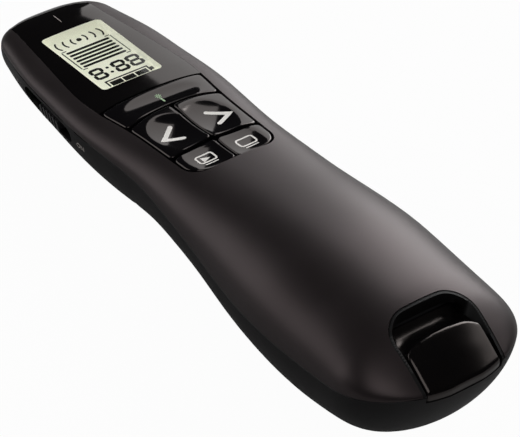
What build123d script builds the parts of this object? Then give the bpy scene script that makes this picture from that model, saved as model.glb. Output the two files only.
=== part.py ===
from build123d import *
from math import atan2, cos, pi, sin
import os

# A hand-held wireless presenter.  +Y runs forward to the laser end, +X to the right, +Z up
# through the keys, and z = 0 is the table under it.  Every size is in millimetres.

# ---- overall form --------------------------------------------------------------------------
LENGTH = 130.0
WIDTH = 39.0
HEIGHT = 29.5
FRONT_ROUND, FRONT_POWER = 7.0, 2.7  # how far the front end rounds over in plan, and how squarely
TAIL_ROUND, TAIL_POWER = 13.5, 2.2
CROWN_FRONT, CROWN_TAIL, BELLY = 2.8, 2.0, 2.0  # powers of the cross-section's upper and lower arcs
SECTION_POINTS = 32
LEAST_ARC = 0.5  # the upper arc of a drawn-in section never gets flatter than this
END_SHARES = (0.2, 0.45, 0.65, 0.8, 0.9, 0.97)  # sections through each rounded end
# Each row: place along half the length, half width as a share of half WIDTH, and the heights of
# the crown, the belly and the parting line as shares of HEIGHT.
STATIONS = [
    (1.00, 0.620, 0.445, 0.040, 0.362),
    (0.90, 0.660, 0.466, 0.020, 0.376),
    (0.75, 0.760, 0.515, 0.002, 0.417),
    (0.60, 0.805, 0.564, -0.003, 0.451),
    (0.45, 0.838, 0.617, -0.012, 0.488),
    (0.30, 0.818, 0.678, -0.012, 0.520),
    (0.15, 0.797, 0.737, 0.044, 0.542),
    (0.00, 0.833, 0.795, 0.085, 0.544),
    (-0.15, 0.882, 0.861, 0.078, 0.539),
    (-0.30, 0.949, 0.929, 0.041, 0.539),
    (-0.45, 0.992, 0.981, 0.003, 0.556),
    (-0.60, 0.990, 0.997, -0.012, 0.583),
    (-0.75, 0.972, 0.998, 0.055, 0.632),
    (-0.90, 0.955, 0.920, 0.180, 0.712),
    (-1.00, 0.935, 0.822, 0.270, 0.765),
]
HALF_WIDTH, CROWN, BELLY_LINE, PARTING = 1, 2, 3, 4  # columns of STATIONS

# ---- walls and clearances ------------------------------------------------------------------
WALL = 1.8
SEAT = 0.05  # between two pieces of the case that are fixed together
PART_GAP = 0.24  # the groove between the two shells
LIP_WALL, LIP_RISE, LIP_CLEAR = 0.8, 0.9, 0.1
LIP_STEP = 0.08  # from the inside of the wall to the inside of the lip
LIP_SHY = 0.3  # between the lip and the display panel
SLIDE_GAP = 0.35  # round a key or knob that moves in the case
PIN_GAP = 0.05  # radial, round a plunger, stem or shaft

# ---- deck: the front of the crown, seen as one sloping plane --------------------------------
DECK_RISE = 23.45  # height of the deck plane over the origin
DECK_SLOPE = 9.45  # degrees, down to the front
DECK = Location((0, 0, DECK_RISE), (-DECK_SLOPE, 0, 0))
PANEL_WALL, PANEL_LIFT = 1.4, 0.25  # thickness, and gap over the parting line
FLOOR_WALL, FLOOR_MARGIN = 1.1, 2.0
GLOSS_EDGE = [(10.1, 5.5), (10.35, 12.0), (10.9, 21.5), (11.9, 30.0), (10.9, 45.6), (9.0, 60.8),
              (8.2, 70.0)]  # half width of the gloss deck against distance along it
GLOSS_REAR = 0.9
GLOSS_CORNER = 4.2
ARCH_HALF = 12.0  # half the chord on which the arched key edges are given
BAR_FRONT = (28.8, 29.4)  # laser key: deck distance at the flanks and on the centre line
BAR_REAR = (20.5, 22.7)
ARROW_REAR = (7.8, 8.8)
KEY_SPLIT = 0.6  # between neighbouring keys
KEY_RIM = 0.45  # between the keys and the edge of the gloss deck
KEY_DEEP = 2.9
KEY_TRAVEL = 0.4
KEY_CORNER = 0.8
DISH_RADIUS, DISH_DEEP = 30.0, 0.35
STEM_RADIUS, COLLAR_RADIUS = 1.2, 1.7
PLATE_TOP, PLATE_LOW = -3.7, -4.5  # key frame plate, measured from the deck plane
COLLAR_TOP, STEM_LOW = -4.8, -5.3
BOARD_TOP, BOARD_WALL = -6.6, 1.0
KEYS = {  # stem centre on the deck
    "laser": (0.0, 25.4),
    "back": (-5.5, 14.6),
    "next": (5.5, 14.6),
    "slideshow": (-5.2, 4.8),
    "blank": (5.2, 4.8),
}

# ---- display -------------------------------------------------------------------------------
WINDOW_HALF, WINDOW_REAR, WINDOW_FRONT, WINDOW_CORNER = 6.9, 34.3, 56.1, 1.0
WINDOW_WALL = 1.0
CELL_TOP, CELL_WALL, CELL_SIDE, CELL_LEDGE = -2.05, 1.7, 0.8, 1.2
HOLDER_WALL = 0.65
REFLECTOR_WALL = 1.0
STRIP_WIDE, STRIP_GAP = 1.4, 0.3

# ---- boards and what stands on them ---------------------------------------------------------
BOARD_HALF, BOARD_REAR, BOARD_FRONT = 9.6, 1.6, 55.0
NOTCH_DEEP, NOTCH_REAR, NOTCH_FRONT = 0.9, 28.0, 51.0  # beside the side keys' own board
SWITCH_SIDE, SWITCH_TALL = 3.4, 0.8
PLUNGER_RADIUS = 0.8
CHIP_WALL = 0.9
STANDOFF_RADIUS = 1.25
STANDOFFS = [(-6.0, 30.9), (6.0, 30.9), (-9.0, 9.9), (9.0, 9.9)]  # front pair on the top shell
BOARD_SCREW_RADIUS, BOARD_HEAD_RADIUS, BOARD_HEAD_TALL = 0.65, 1.25, 0.8

# ---- flank controls -------------------------------------------------------------------------
FLANK_PLACE, FLANK_DROP = 39.7, 2.5  # centre of the controls: along Y, and below the parting
SLOT_HALF, SLOT_TALL = 9.0, 3.5
SLIDER_TRAVEL = 4.0
RELIEF_FACE = -1.25  # the wall is thinned to this depth behind the flank controls
RELIEF_HALF, RELIEF_TALL = 13.8, 4.7
CARRIER_FACE, CARRIER_WALL, CARRIER_TALL = -1.6, 0.7, 4.0  # depth below the skin
KNOB_HALF, KNOB_PLACE, KNOB_PROUD = 3.5, -1.0, 0.25
KNOB_RIBS, RIB_STEP, RIB_WIDE, RIB_DEEP = 5, 1.2, 0.6, 0.35
FLAG_HALF, FLAG_PLACE, FLAG_TALL, FLAG_WALL = 1.9, 6.8, 2.4, 0.3
LEVER_SIDE, LEVER_LONG, LEVER_CLEAR = 1.2, 1.9, 0.3
SLIDE_CASE_X, SLIDE_CASE_REAR, SLIDE_CASE_FRONT, SLIDE_CASE_TALL = (-12.1, -9.4), 36.8, 47.4, 3.0
SIDE_KEYS = {"minus": -6.4, "timer": 0.0, "plus": 6.4}
SIDE_KEY_LONG, SIDE_KEY_TALL, SIDE_PROUD = 5.0, 2.8, 0.25
SIDE_FLANGE_TOP, SIDE_FLANGE_WALL, SIDE_FLANGE_RIM = -1.6, 0.6, 0.5
SIDE_STEM_RADIUS, SIDE_PLUNGER_RADIUS = 0.9, 0.7
SIDE_STEM_LOW = -3.2
SIDE_CASE_TOP, SIDE_CASE_LOW = -3.7, -4.9
SIDE_PLUNGER_LOW = -4.0
SIDE_BOARD_WALL, SIDE_BOARD_HALF, SIDE_BOARD_TALL = 0.8, 8.4, 3.0

# ---- laser ---------------------------------------------------------------------------------
LASER_HIGH, LASER_RADIUS, LASER_BORE = 4.7, 2.4, 1.6
LASER_REAR, LASER_FRONT = 54.0, 61.8
LENS_LONG = 1.6
DIODE_RADIUS, DIODE_LONG = 1.5, 2.6
PORT_RADIUS, PORT_WALL, PORT_SET_BACK = 2.0, 0.8, 1.6
SADDLE_HALF, SADDLE_WALL = 3.4, 1.6
SADDLES = (55.8, 59.6)

# ---- batteries -----------------------------------------------------------------------------
CELL_RADIUS, CELL_LONG, NUB_RADIUS, NUB_LONG = 5.25, 43.7, 1.9, 0.8  # AAA: 44.5 with its nub
CELL_PITCH, CELL_HIGH, CELL_CLEAR = 11.2, 11.2, 0.15
BAY_REAR, BAY_FRONT = -50.0, -1.3  # inside faces of the tray's end walls
TRAY_WALL, TRAY_SIDE_GAP, TRAY_TOP_GAP = 0.9, 0.4, 0.3
PLATE_WALL, PLATE_HALF = 0.4, 3.4
SPRING_RADIUS, SPRING_WIRE, SPRING_TURNS = 2.6, 0.3, 3
DOOR_WALL, DOOR_HALF, DOOR_REAR, DOOR_FRONT, DOOR_GAP = 1.6, 12.3, -49.0, -3.0, 0.3
LEDGE_WALL, LEDGE_WIDE = 0.9, 1.0
LATCH_HALF, LATCH_LONG, LATCH_TALL = 3.0, 1.4, 4.0
LATCH_CLEAR, LATCH_ROOM = 0.5, 3.4  # opening for the latch: beside it, and along Y
GRIP_GROOVES, GROOVE_STEP, GROOVE_WIDE, GROOVE_HALF = 4, 1.2, 0.6, 4.0

# ---- vibration motor -----------------------------------------------------------------------
MOTOR_RADIUS, MOTOR_FRONT, MOTOR_REAR, MOTOR_HIGH = 2.2, -4.0, -12.0, 20.0
SHAFT_RADIUS, SHAFT_LONG = 0.4, 4.0
CRADLE_WALL = 0.8
WEIGHT_RADIUS, WEIGHT_LONG, WEIGHT_GAP = 2.2, 2.8, 0.6

# ---- receiver and its bay in the tail --------------------------------------------------------
STICK_HALF, STICK_LOW, STICK_TOP, STICK_ROUND = 7.8, 21.1, 26.1, 1.4
CAP_FRONT, HOUSING_FRONT = -50.3, -36.0
CAP_HALF, CAP_CORNER, CAP_SINK = 8.15, 4.5, 0.15
SCOOP_RADIUS, SCOOP_PLACE, SCOOP_DEEP = 3.6, -53.4, 0.9
PLUG_WIDE, PLUG_TALL, PLUG_LONG, PLUG_SHEET = 12.0, 4.5, 12.0, 0.3
TONGUE_WIDE, TONGUE_TALL = 11.0, 1.6
CONTACT_WIDE, CONTACT_LONG, CONTACT_WALL, CONTACT_PITCH = 1.0, 6.5, 0.2, 2.3
HOUSING_WALL, CHIP_BOARD_WALL = 1.0, 0.8
STICK_GAP = 0.25
RECESS = [(9.3, -54.0), (9.0, -66.0)]  # half width against Y
RECESS_FRONT, RECESS_CORNER = -49.7, 5.5
BAY_WALL = 0.6

# ---- case screws ----------------------------------------------------------------------------
CASE_SCREWS = [(11.8, 14.0), (14.3, -24.0)]  # right-hand pair, mirrored to the left
SCREW_RADIUS, SCREW_HEAD_RADIUS, SCREW_HEAD_TALL, SCREW_GRIP = 0.9, 1.6, 1.2, 5.0
BOSS_RADIUS, BOSS_SPLIT, HEAD_SEAT = 1.7, 2.3, 3.5

FAR = 80.0  # larger than the whole model


# ---- helpers -------------------------------------------------------------------------------
def between(column, along):
    """A column of STATIONS at any place along the length, as one smooth curve."""
    last = len(STATIONS) - 2
    step = next((i for i in range(last) if along >= STATIONS[i + 1][0]), last)
    before, here = STATIONS[max(step - 1, 0)], STATIONS[step]
    after, beyond = STATIONS[step + 1], STATIONS[min(step + 2, last + 1)]
    gap = after[0] - here[0]
    t = (along - here[0]) / gap
    leave = (after[column] - before[column]) / (after[0] - before[0]) * gap
    arrive = (beyond[column] - here[column]) / (beyond[0] - here[0]) * gap
    return (
        (2 * t**3 - 3 * t**2 + 1) * here[column]
        + (t**3 - 2 * t**2 + t) * leave
        + (3 * t**2 - 2 * t**3) * after[column]
        + (t**3 - t**2) * arrive
    )


def half_width(y):
    return between(HALF_WIDTH, 2 * y / LENGTH) * WIDTH / 2


def parting_height(y):
    return between(PARTING, 2 * y / LENGTH) * HEIGHT


def belly_height(y):
    return between(BELLY_LINE, 2 * y / LENGTH) * HEIGHT


def end_share(y, inset):
    """How far the section is drawn in where an end rounds over."""
    half = LENGTH / 2 - inset
    ends = ((y, FRONT_ROUND, FRONT_POWER), (-y, TAIL_ROUND, TAIL_POWER))
    for out, reach, power in ends:
        into = out - (half - reach)
        if into > 0:
            return max(1 - (into / reach) ** power, 0) ** (1 / power)
    return 1.0


def arc_point(turn, half, reach, power):
    """A point of a superellipse, turn being its polar angle before stretching."""
    size = (abs(cos(turn)) ** power + abs(sin(turn)) ** power) ** (-1 / power)
    return half * size * cos(turn), reach * size * sin(turn)


def radii(y, inset):
    """The cross-section at y, drawn in by inset: its half width, the heights of its upper and
    lower arcs, the height of the line between them, and the power of the upper arc."""
    share = end_share(y, inset)
    top = between(CROWN, 2 * y / LENGTH) * HEIGHT - inset
    low = belly_height(y) + inset
    middle = min(parting_height(y), top - LEAST_ARC)
    power = CROWN_TAIL + (CROWN_FRONT - CROWN_TAIL) * (y / LENGTH + 0.5)
    return (half_width(y) - inset) * share, (top - middle) * share, (middle - low) * share, middle, power


def smooth(points, closed=False):
    """A curve through points, with the same knots for every cross-section."""
    total = len(points) if closed else len(points) - 1
    knots = [step / total for step in range(total + 1)]
    return Edge.make_spline([Vector(*point) for point in points], periodic=closed, parameters=knots)


def section(y, inset):
    """Cross-section of the case at y, drawn in by inset all round."""
    half, up, down, middle, crown = radii(y, inset)
    points = []
    for step in range(SECTION_POINTS):
        turn = 2 * pi * step / SECTION_POINTS - pi / 2
        x, z = arc_point(turn, half, up, crown) if sin(turn) > 0 else arc_point(turn, half, down, BELLY)
        points.append((x, y, middle + z))
    return Face(Wire([smooth(points, closed=True)]))


def half_section(y, inset, level):
    """The part of a cross-section over (level > 0) or under (level < 0) the parting line."""
    half, up, down, middle, crown = radii(y, inset)
    reach, power = (up, crown) if level > 0 else (-down, BELLY)
    share = min(max((parting_height(y) + level - middle) / reach, 0), 0.9)
    start = atan2(share, (1 - share**power) ** (1 / power))
    points = []
    for step in range(SECTION_POINTS + 1):
        x, z = arc_point(start + (pi - 2 * start) * step / SECTION_POINTS, half, reach, power)
        points.append((x, y, middle + z))
    return Face(Wire([smooth(points), Edge.make_line(points[-1], points[0])]))


def places(inset):
    """Where along Y the case's cross-sections stand, from the front to the tail."""
    half = LENGTH / 2 - inset
    front = [half - FRONT_ROUND * (1 - (1 - k**FRONT_POWER) ** (1 / FRONT_POWER)) for k in END_SHARES]
    tail = [-half + TAIL_ROUND * (1 - (1 - k**TAIL_POWER) ** (1 / TAIL_POWER)) for k in END_SHARES]
    rows = [row[0] * LENGTH / 2 for row in STATIONS]
    return front + [y for y in rows if max(tail) + 1 < y < min(front) - 1] + tail[::-1]


def hull(inset=0.0):
    """The solid inside the case's skin, drawn in by inset."""
    return Part() + loft([section(y, inset) for y in places(inset)])


def half_hull(level, inset=0.0):
    """The half of the hull over (level > 0) or under (level < 0) the parting line."""
    return Part() + loft([half_section(y, inset, level) for y in places(inset)])


def lower_wall():
    """The lower half's wall, a little enlarged, for cutting away what stands in it."""
    return half_hull(-2 * SEAT, -2 * SEAT) - hull(WALL + 2 * SEAT)


def over_table():
    return box((-FAR, FAR), (-FAR, FAR), (0, FAR))


def plan(inset):
    """Outline of the case seen from above, drawn in by inset."""
    right = [(radii(y, inset)[0], y) for y in places(inset)]
    left = [(-x, y) for x, y in right]
    ends = [Line(right[0], left[0]), Line(right[-1], left[-1])]
    return make_face([*Spline(*right).edges(), *Spline(*left).edges(), *ends[0].edges(), *ends[1].edges()])


def parting_band(low, high):
    """Everything between two heights over the parting line."""
    ends = (-LENGTH / 2 - 1, LENGTH / 2 + 1)
    steps = 2 * len(STATIONS)
    line = [ends[0] + (ends[1] - ends[0]) * step / steps for step in range(steps + 1)]
    upper, lower = [[(y, parting_height(y) + lift) for y in line] for lift in (high, low)]
    sides = [Line(upper[0], lower[0]), Line(upper[-1], lower[-1])]
    edges = [*Spline(*upper).edges(), *Spline(*lower).edges(), *sides[0].edges(), *sides[1].edges()]
    return extrude(Plane.YZ * make_face(edges), FAR / 2, both=True)


def crown_height(x, y):
    """Height of the case's top skin over a point."""
    part = parting_height(y)
    power = CROWN_TAIL + (CROWN_FRONT - CROWN_TAIL) * (y / LENGTH + 0.5)
    rise = (1 - (abs(x) / half_width(y)) ** power) ** (1 / power)
    return part + (between(CROWN, 2 * y / LENGTH) * HEIGHT - part) * rise


def skin(outer, inner):
    """The layer of the case between two depths."""
    return hull(outer) - hull(inner)


def box(x, y, z):
    """A box from three (low, high) pairs."""
    middle = [(low + high) / 2 for low, high in (x, y, z)]
    return Pos(*middle) * Box(x[1] - x[0], y[1] - y[0], z[1] - z[0])


def rod(radius, low, high, x=0.0, y=0.0):
    """An upright cylinder."""
    return Pos(x, y, (low + high) / 2) * Cylinder(radius, high - low)


def rod_along(radius, low, high, x=0.0, z=0.0):
    """A cylinder along Y."""
    return Pos(x, (low + high) / 2, z) * Rot(90, 0, 0) * Cylinder(radius, high - low)


def prism(sketch, low=-FAR / 2, high=FAR / 2):
    return extrude(Pos(0, 0, low) * sketch, high - low)


def rounded(low_x, high_x, low_y, high_y, radius):
    middle = Pos((low_x + high_x) / 2, (low_y + high_y) / 2)
    return middle * RectangleRounded(high_x - low_x, high_y - low_y, radius)


def mirrored_pair(shape):
    return [shape, mirror(shape, Plane.YZ)]


def save(name, *solids):
    shape = solids[0] if len(solids) == 1 else Compound(children=[s.solid() for s in solids])
    export_step(shape, f"parts/{name}.step")


# ---- outlines on the deck --------------------------------------------------------------------
def gloss_outline(grow=0.0):
    """The gloss black deck, display panel and keys together, on the deck plane."""
    edge = [(x + grow, y) for x, y in GLOSS_EDGE]
    rear = GLOSS_REAR - grow
    right = Spline(*edge)
    left = Spline(*[(-x, y) for x, y in edge])
    front = Line(edge[-1], (-edge[-1][0], edge[-1][1]))
    base = Polyline(edge[0], (edge[0][0], rear), (-edge[0][0], rear), (-edge[0][0], edge[0][1]))
    face = make_face([*right.edges(), *front.edges(), *left.edges(), *base.edges()])
    corners = [v for v in face.vertices() if abs(v.Y - rear) < 1e-6]
    return fillet(corners, GLOSS_CORNER + grow)


def behind(arch, shift=0.0):
    """The deck plane behind an arched line."""
    flank, middle = arch[0] + shift, arch[1] + shift
    bow = ThreePointArc((-ARCH_HALF, flank), (0, middle), (ARCH_HALF, flank))
    back = Polyline((ARCH_HALF, flank), (FAR, flank), (FAR, -FAR), (-FAR, -FAR), (-FAR, flank),
                    (-ARCH_HALF, flank))
    return make_face([*bow.edges(), *back.edges()])


def is_corner(face, vertex):
    """True where two edges meet at an angle rather than running on smoothly."""
    ways = []
    for edge in face.edges():
        for end in (0, 1):
            if (edge @ end - Vector(*vertex)).length < 1e-4:
                ways.append((edge % end) * (1 - 2 * end))
    return len(ways) == 2 and ways[0].get_angle(ways[1]) < 160


def soften(sketch, radius):
    """Round the sharp corners of a sketch."""
    face = sketch.face()
    return fillet([vertex for vertex in face.vertices() if is_corner(face, vertex)], radius)


def key_outlines():
    field = gloss_outline(-KEY_RIM)
    half = KEY_SPLIT / 2
    left = Pos(-half - FAR / 2, 0) * Rectangle(FAR, 2 * FAR)
    right = Pos(half + FAR / 2, 0) * Rectangle(FAR, 2 * FAR)
    bar = behind(BAR_FRONT, -SLIDE_GAP / 2) - behind(BAR_REAR, half)
    arrows = behind(BAR_REAR, -half) - behind(ARROW_REAR, half)
    small = behind(ARROW_REAR, -half)
    raw = {
        "laser": field & bar,
        "back": field & arrows & left,
        "next": field & arrows & right,
        "slideshow": field & small & left,
        "blank": field & small & right,
    }
    return {name: soften(outline, KEY_CORNER) for name, outline in raw.items()}


def window_outline(shrink=0.0):
    return rounded(-WINDOW_HALF + shrink, WINDOW_HALF - shrink, WINDOW_REAR + shrink,
                   WINDOW_FRONT - shrink, WINDOW_CORNER)


def holder_outline(grow=0.0):
    reach = CELL_SIDE + HOLDER_WALL + grow
    return rounded(-WINDOW_HALF - reach, WINDOW_HALF + reach, WINDOW_REAR - CELL_LEDGE - reach + CELL_SIDE,
                   WINDOW_FRONT + reach, WINDOW_CORNER)


def deck_well(outline, low=-14.0, high=10.0):
    """A prism square to the deck, through the skin."""
    return DECK * prism(outline, low, high)


# ---- the two shells --------------------------------------------------------------------------
def lip(slack=0.0):
    """The tongue of the bottom shell that stands inside the top one."""
    ring = plan(WALL - LIP_STEP - LIP_WALL - slack) - plan(WALL - LIP_STEP + 4 * slack)
    tongue = prism(ring, 0, FAR / 2) & parting_band(-LIP_RISE - slack, LIP_RISE + slack)
    return tongue - deck_well(gloss_outline(LIP_SHY - slack))


def screw_seat(x, y):
    """Height of a case screw's head: a fixed depth up inside the belly wall."""
    part = parting_height(y)
    drop = (1 - (x / half_width(y)) ** BELLY) ** (1 / BELLY)
    return part - (part - belly_height(y)) * drop + HEAD_SEAT


def boss_top(x, y):
    return screw_seat(x, y) + BOSS_SPLIT


def top_shell():
    shell = half_hull(PART_GAP / 2) - hull(WALL)
    roof = hull(WALL / 2)
    for x, y in CASE_SCREWS:
        base = boss_top(x, y) + SEAT
        post = (rod(BOSS_RADIUS, base, FAR / 2, x, y) & roof) - lower_wall()
        shell += mirrored_pair(post - rod(SCREW_RADIUS + SEAT, base, base + SCREW_GRIP, x, y))
    shell -= deck_well(gloss_outline())
    panel_depth = PANEL_WALL + SEAT
    ahead = gloss_outline(FLOOR_MARGIN) - behind(BAR_FRONT, SLIDE_GAP / 2 + FLOOR_WALL / 2)
    floor = skin(panel_depth, panel_depth + FLOOR_WALL) & deck_well(ahead)
    shell += floor & half_hull(PART_GAP / 2, WALL / 2)
    shell -= deck_well(holder_outline(SEAT))
    for x, y in STANDOFFS[:2]:
        post = DECK * (rod(STANDOFF_RADIUS, BOARD_TOP, 0, x, y) - rod(BOARD_SCREW_RADIUS, BOARD_TOP, 0, x, y))
        shell += post & hull(panel_depth + FLOOR_WALL / 2)
    shell -= prism(recess_outline(), STICK_LOW - 3, FAR / 2)
    return shell - lip(LIP_CLEAR)


def door_outline(grow=0.0):
    return rounded(-DOOR_HALF - grow, DOOR_HALF + grow, DOOR_REAR - grow, DOOR_FRONT + grow, 2.5)


def door_well(outline):
    return prism(outline, -FAR / 2, CELL_HIGH)


def bottom_shell():
    shell = (half_hull(-PART_GAP / 2) & over_table()) - hull(WALL)
    shell += lip() - prism(recess_outline(LIP_CLEAR), STICK_LOW - 3, FAR / 2)
    ledge_depth = DOOR_WALL + SEAT
    ledge = skin(ledge_depth, ledge_depth + LEDGE_WALL) & door_well(door_outline(LEDGE_WIDE))
    shell -= door_well(door_outline())
    shell += ledge - door_well(door_outline(-LEDGE_WIDE))
    latch_half = LATCH_HALF + LATCH_CLEAR
    latch_well = box((-latch_half, latch_half), (DOOR_REAR - 0.2, DOOR_REAR + LATCH_ROOM), (-1, CELL_HIGH))
    shell -= latch_well & hull(DOOR_WALL)
    for x, y in CASE_SCREWS:
        seat, top = screw_seat(x, y), boss_top(x, y)
        post = rod(BOSS_RADIUS + 0.2, 0, top, x, y) & hull(WALL / 2)
        head = rod(SCREW_HEAD_RADIUS + SEAT, -1, seat, x, y)
        shell += mirrored_pair(post)
        shell -= mirrored_pair(head)
        shell -= mirrored_pair(rod(SCREW_RADIUS + SEAT, 0, top + 1, x, y))
    shell -= rod_along(PORT_RADIUS + SEAT, LASER_FRONT - 1, FAR, 0, LASER_HIGH)
    shell -= rod_along(LASER_RADIUS + 2 * SEAT, LASER_REAR - 2, LASER_FRONT + SEAT, 0, LASER_HIGH)
    for y in SADDLES:
        rib = box((-SADDLE_HALF, SADDLE_HALF), (y - SADDLE_WALL / 2, y + SADDLE_WALL / 2), (0, LASER_HIGH))
        shell += (rib & hull(WALL / 2)) - rod_along(LASER_RADIUS + SEAT, y - 2, y + 2, 0, LASER_HIGH)
    trough = rod_along(CELL_RADIUS + CELL_CLEAR, BAY_REAR, BAY_FRONT, CELL_PITCH / 2, CELL_HIGH)
    shell -= mirrored_pair(trough)
    for side in (-1, 1):
        relief = box((-RELIEF_HALF, RELIEF_HALF), (-RELIEF_TALL / 2, RELIEF_TALL / 2), (-6, RELIEF_FACE))
        shell -= flank(side) * relief
    shell -= flank(-1) * prism(SlotOverall(2 * SLOT_HALF, SLOT_TALL), -6, 3)
    for place in SIDE_KEYS.values():
        shell -= flank(1) * Pos(place, 0) * prism(side_key_outline(SLIDE_GAP), -6, 3)
    notch = box((-CAP_HALF - STICK_GAP, CAP_HALF + STICK_GAP), (-FAR, -LENGTH / 2 + TAIL_ROUND),
                (STICK_LOW - STICK_GAP, FAR))
    return shell - notch


# ---- display ---------------------------------------------------------------------------------
def display_panel():
    outline = gloss_outline(-SEAT) - behind(BAR_FRONT, SLIDE_GAP / 2)
    panel = (half_hull(PANEL_LIFT) - hull(PANEL_WALL)) & deck_well(outline)
    return panel - deck_well(window_outline())


def display_window():
    return skin(SEAT, WINDOW_WALL) & deck_well(window_outline(SEAT), -5)


def display_cell():
    """Two glass plates, the lower one longer at the rear, where it meets the zebra strip."""
    half, front = WINDOW_HALF + CELL_SIDE, WINDOW_FRONT + CELL_SIDE
    middle = CELL_TOP - CELL_WALL / 2
    upper = box((-half, half), (WINDOW_REAR - 0.2, front), (middle, CELL_TOP))
    lower = box((-half, half), (WINDOW_REAR - CELL_LEDGE, front), (CELL_TOP - CELL_WALL, middle))
    return DECK * (upper + lower)


def display_holder():
    low = CELL_TOP - CELL_WALL
    half, rear = WINDOW_HALF + CELL_SIDE + SEAT, WINDOW_REAR - CELL_LEDGE - SEAT
    front = WINDOW_FRONT + CELL_SIDE + SEAT
    frame = prism(holder_outline(), BOARD_TOP, CELL_TOP)
    frame -= box((-half, half), (rear, front), (low - REFLECTOR_WALL, 0))
    frame -= box((-half + 1, half - 1), (rear + STRIP_WIDE + 1.5, front - 1), (BOARD_TOP - 1, 0))
    frame -= box((-half + 0.5, half - 0.5), (rear, rear + STRIP_WIDE + 2 * SEAT), (BOARD_TOP - 1, 0))
    return DECK * frame


def display_reflector():
    half, front = WINDOW_HALF + CELL_SIDE, WINDOW_FRONT + CELL_SIDE
    low = CELL_TOP - CELL_WALL - REFLECTOR_WALL
    rear = WINDOW_REAR - CELL_LEDGE + STRIP_WIDE + STRIP_GAP
    return DECK * box((-half, half), (rear, front), (low, low + REFLECTOR_WALL))


def zebra_strip():
    half, rear = WINDOW_HALF, WINDOW_REAR - CELL_LEDGE
    return DECK * box((-half, half), (rear, rear + STRIP_WIDE), (BOARD_TOP, CELL_TOP - CELL_WALL))


# ---- keys ------------------------------------------------------------------------------------
def deck_depth(x, along):
    """Depth of the top skin below the deck plane, at a point of the deck."""
    y = along * cos(DECK_SLOPE * pi / 180)
    plane = DECK_RISE - along * sin(DECK_SLOPE * pi / 180)
    return (crown_height(x, y) - plane) * cos(DECK_SLOPE * pi / 180)


def key(name, outline):
    x, along = KEYS[name]
    cap = deck_well(outline, -KEY_DEEP) & hull()
    face = deck_depth(x, along)
    dish = Sphere(DISH_RADIUS) if name != "laser" else Rot(0, 90, 0) * Cylinder(DISH_RADIUS / 2, FAR)
    radius = DISH_RADIUS if name != "laser" else DISH_RADIUS / 2
    cap -= DECK * Pos(x, along, face + radius - DISH_DEEP) * dish
    cap += DECK * rod(STEM_RADIUS, STEM_LOW, -KEY_DEEP, x, along)
    cap += DECK * rod(COLLAR_RADIUS, STEM_LOW, COLLAR_TOP, x, along)
    return cap


def key_frame():
    """The well round the keys: a rim against the top shell and a plate that guides the stems."""
    ahead = behind(BAR_FRONT, SLIDE_GAP / 2)
    outer = gloss_outline(FLOOR_MARGIN / 2) & ahead
    plate = DECK * prism(outer, PLATE_LOW, PLATE_TOP)
    rim = deck_well((gloss_outline(FLOOR_MARGIN / 2) - gloss_outline(-SEAT)) & ahead, PLATE_LOW)
    frame = (plate + rim) & hull(WALL + SEAT)
    for x, y in KEYS.values():
        frame -= DECK * rod(STEM_RADIUS + PIN_GAP, PLATE_LOW - 1, PLATE_TOP + 1, x, y)
    frame -= mirrored_pair(rod(BOSS_RADIUS + LIP_CLEAR, 0, FAR / 2, *CASE_SCREWS[0]))
    for x, y in STANDOFFS[2:]:
        frame += DECK * rod(STANDOFF_RADIUS, BOARD_TOP, PLATE_TOP, x, y)
        frame -= DECK * rod(BOARD_SCREW_RADIUS, BOARD_TOP - 1, PLATE_TOP - 0.2, x, y)
    return frame


def key_switch(x, y):
    half = SWITCH_SIDE / 2
    case = box((x - half, x + half), (y - half, y + half), (BOARD_TOP, BOARD_TOP + SWITCH_TALL))
    return DECK * (case - rod(PLUNGER_RADIUS + PIN_GAP, BOARD_TOP + 0.1, 0, x, y))


def plunger(x, y):
    return DECK * rod(PLUNGER_RADIUS, BOARD_TOP + 0.15 + KEY_TRAVEL, STEM_LOW, x, y)


# ---- main board ------------------------------------------------------------------------------
def main_board():
    plate = rounded(-BOARD_HALF, BOARD_HALF, BOARD_REAR, BOARD_FRONT, 1.5)
    tab = rounded(SLIDE_CASE_X[0] + 0.6, 0, SLIDE_CASE_REAR - 0.5, SLIDE_CASE_FRONT + 0.5, 0.5)
    notch = rounded(BOARD_HALF - NOTCH_DEEP, FAR, NOTCH_REAR, NOTCH_FRONT, 0.5)
    board = prism(plate + tab - notch, BOARD_TOP - BOARD_WALL, BOARD_TOP)
    for x, y in STANDOFFS:
        board -= rod(BOARD_SCREW_RADIUS + SEAT, BOARD_TOP - 2, BOARD_TOP + 1, x, y)
    return DECK * board


def board_screw(x, y):
    under = BOARD_TOP - BOARD_WALL
    head = rod(BOARD_HEAD_RADIUS, under - BOARD_HEAD_TALL, under, x, y)
    return DECK * (head + rod(BOARD_SCREW_RADIUS - SEAT, under, BOARD_TOP + 1.6, x, y))


def chip(x, y, wide, long, tall=CHIP_WALL):
    plan_x, plan_y = (x - wide / 2, x + wide / 2), (y - long / 2, y + long / 2)
    return DECK * box(plan_x, plan_y, (BOARD_TOP, BOARD_TOP + tall))


# ---- flank controls --------------------------------------------------------------------------
def flank_point(side, y, drop):
    part = parting_height(y)
    reach = (1 - (drop / (part - belly_height(y))) ** BELLY) ** (1 / BELLY)
    return Vector(side * half_width(y) * reach, y, part - drop)


def flank(side):
    """Frame of the flank controls: x forward along the slot, z out of the skin."""
    step = 4.0
    front, rear = [flank_point(side, FLANK_PLACE + shift, FLANK_DROP) for shift in (step, -step)]
    ahead = front - rear
    down = flank_point(side, FLANK_PLACE, FLANK_DROP + 1) - flank_point(side, FLANK_PLACE, FLANK_DROP - 1)
    out = ahead.cross(down) * -side
    if out.X * side < 0:
        out = out * -1
    return Plane(flank_point(side, FLANK_PLACE, FLANK_DROP), x_dir=ahead, z_dir=out).location


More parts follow.
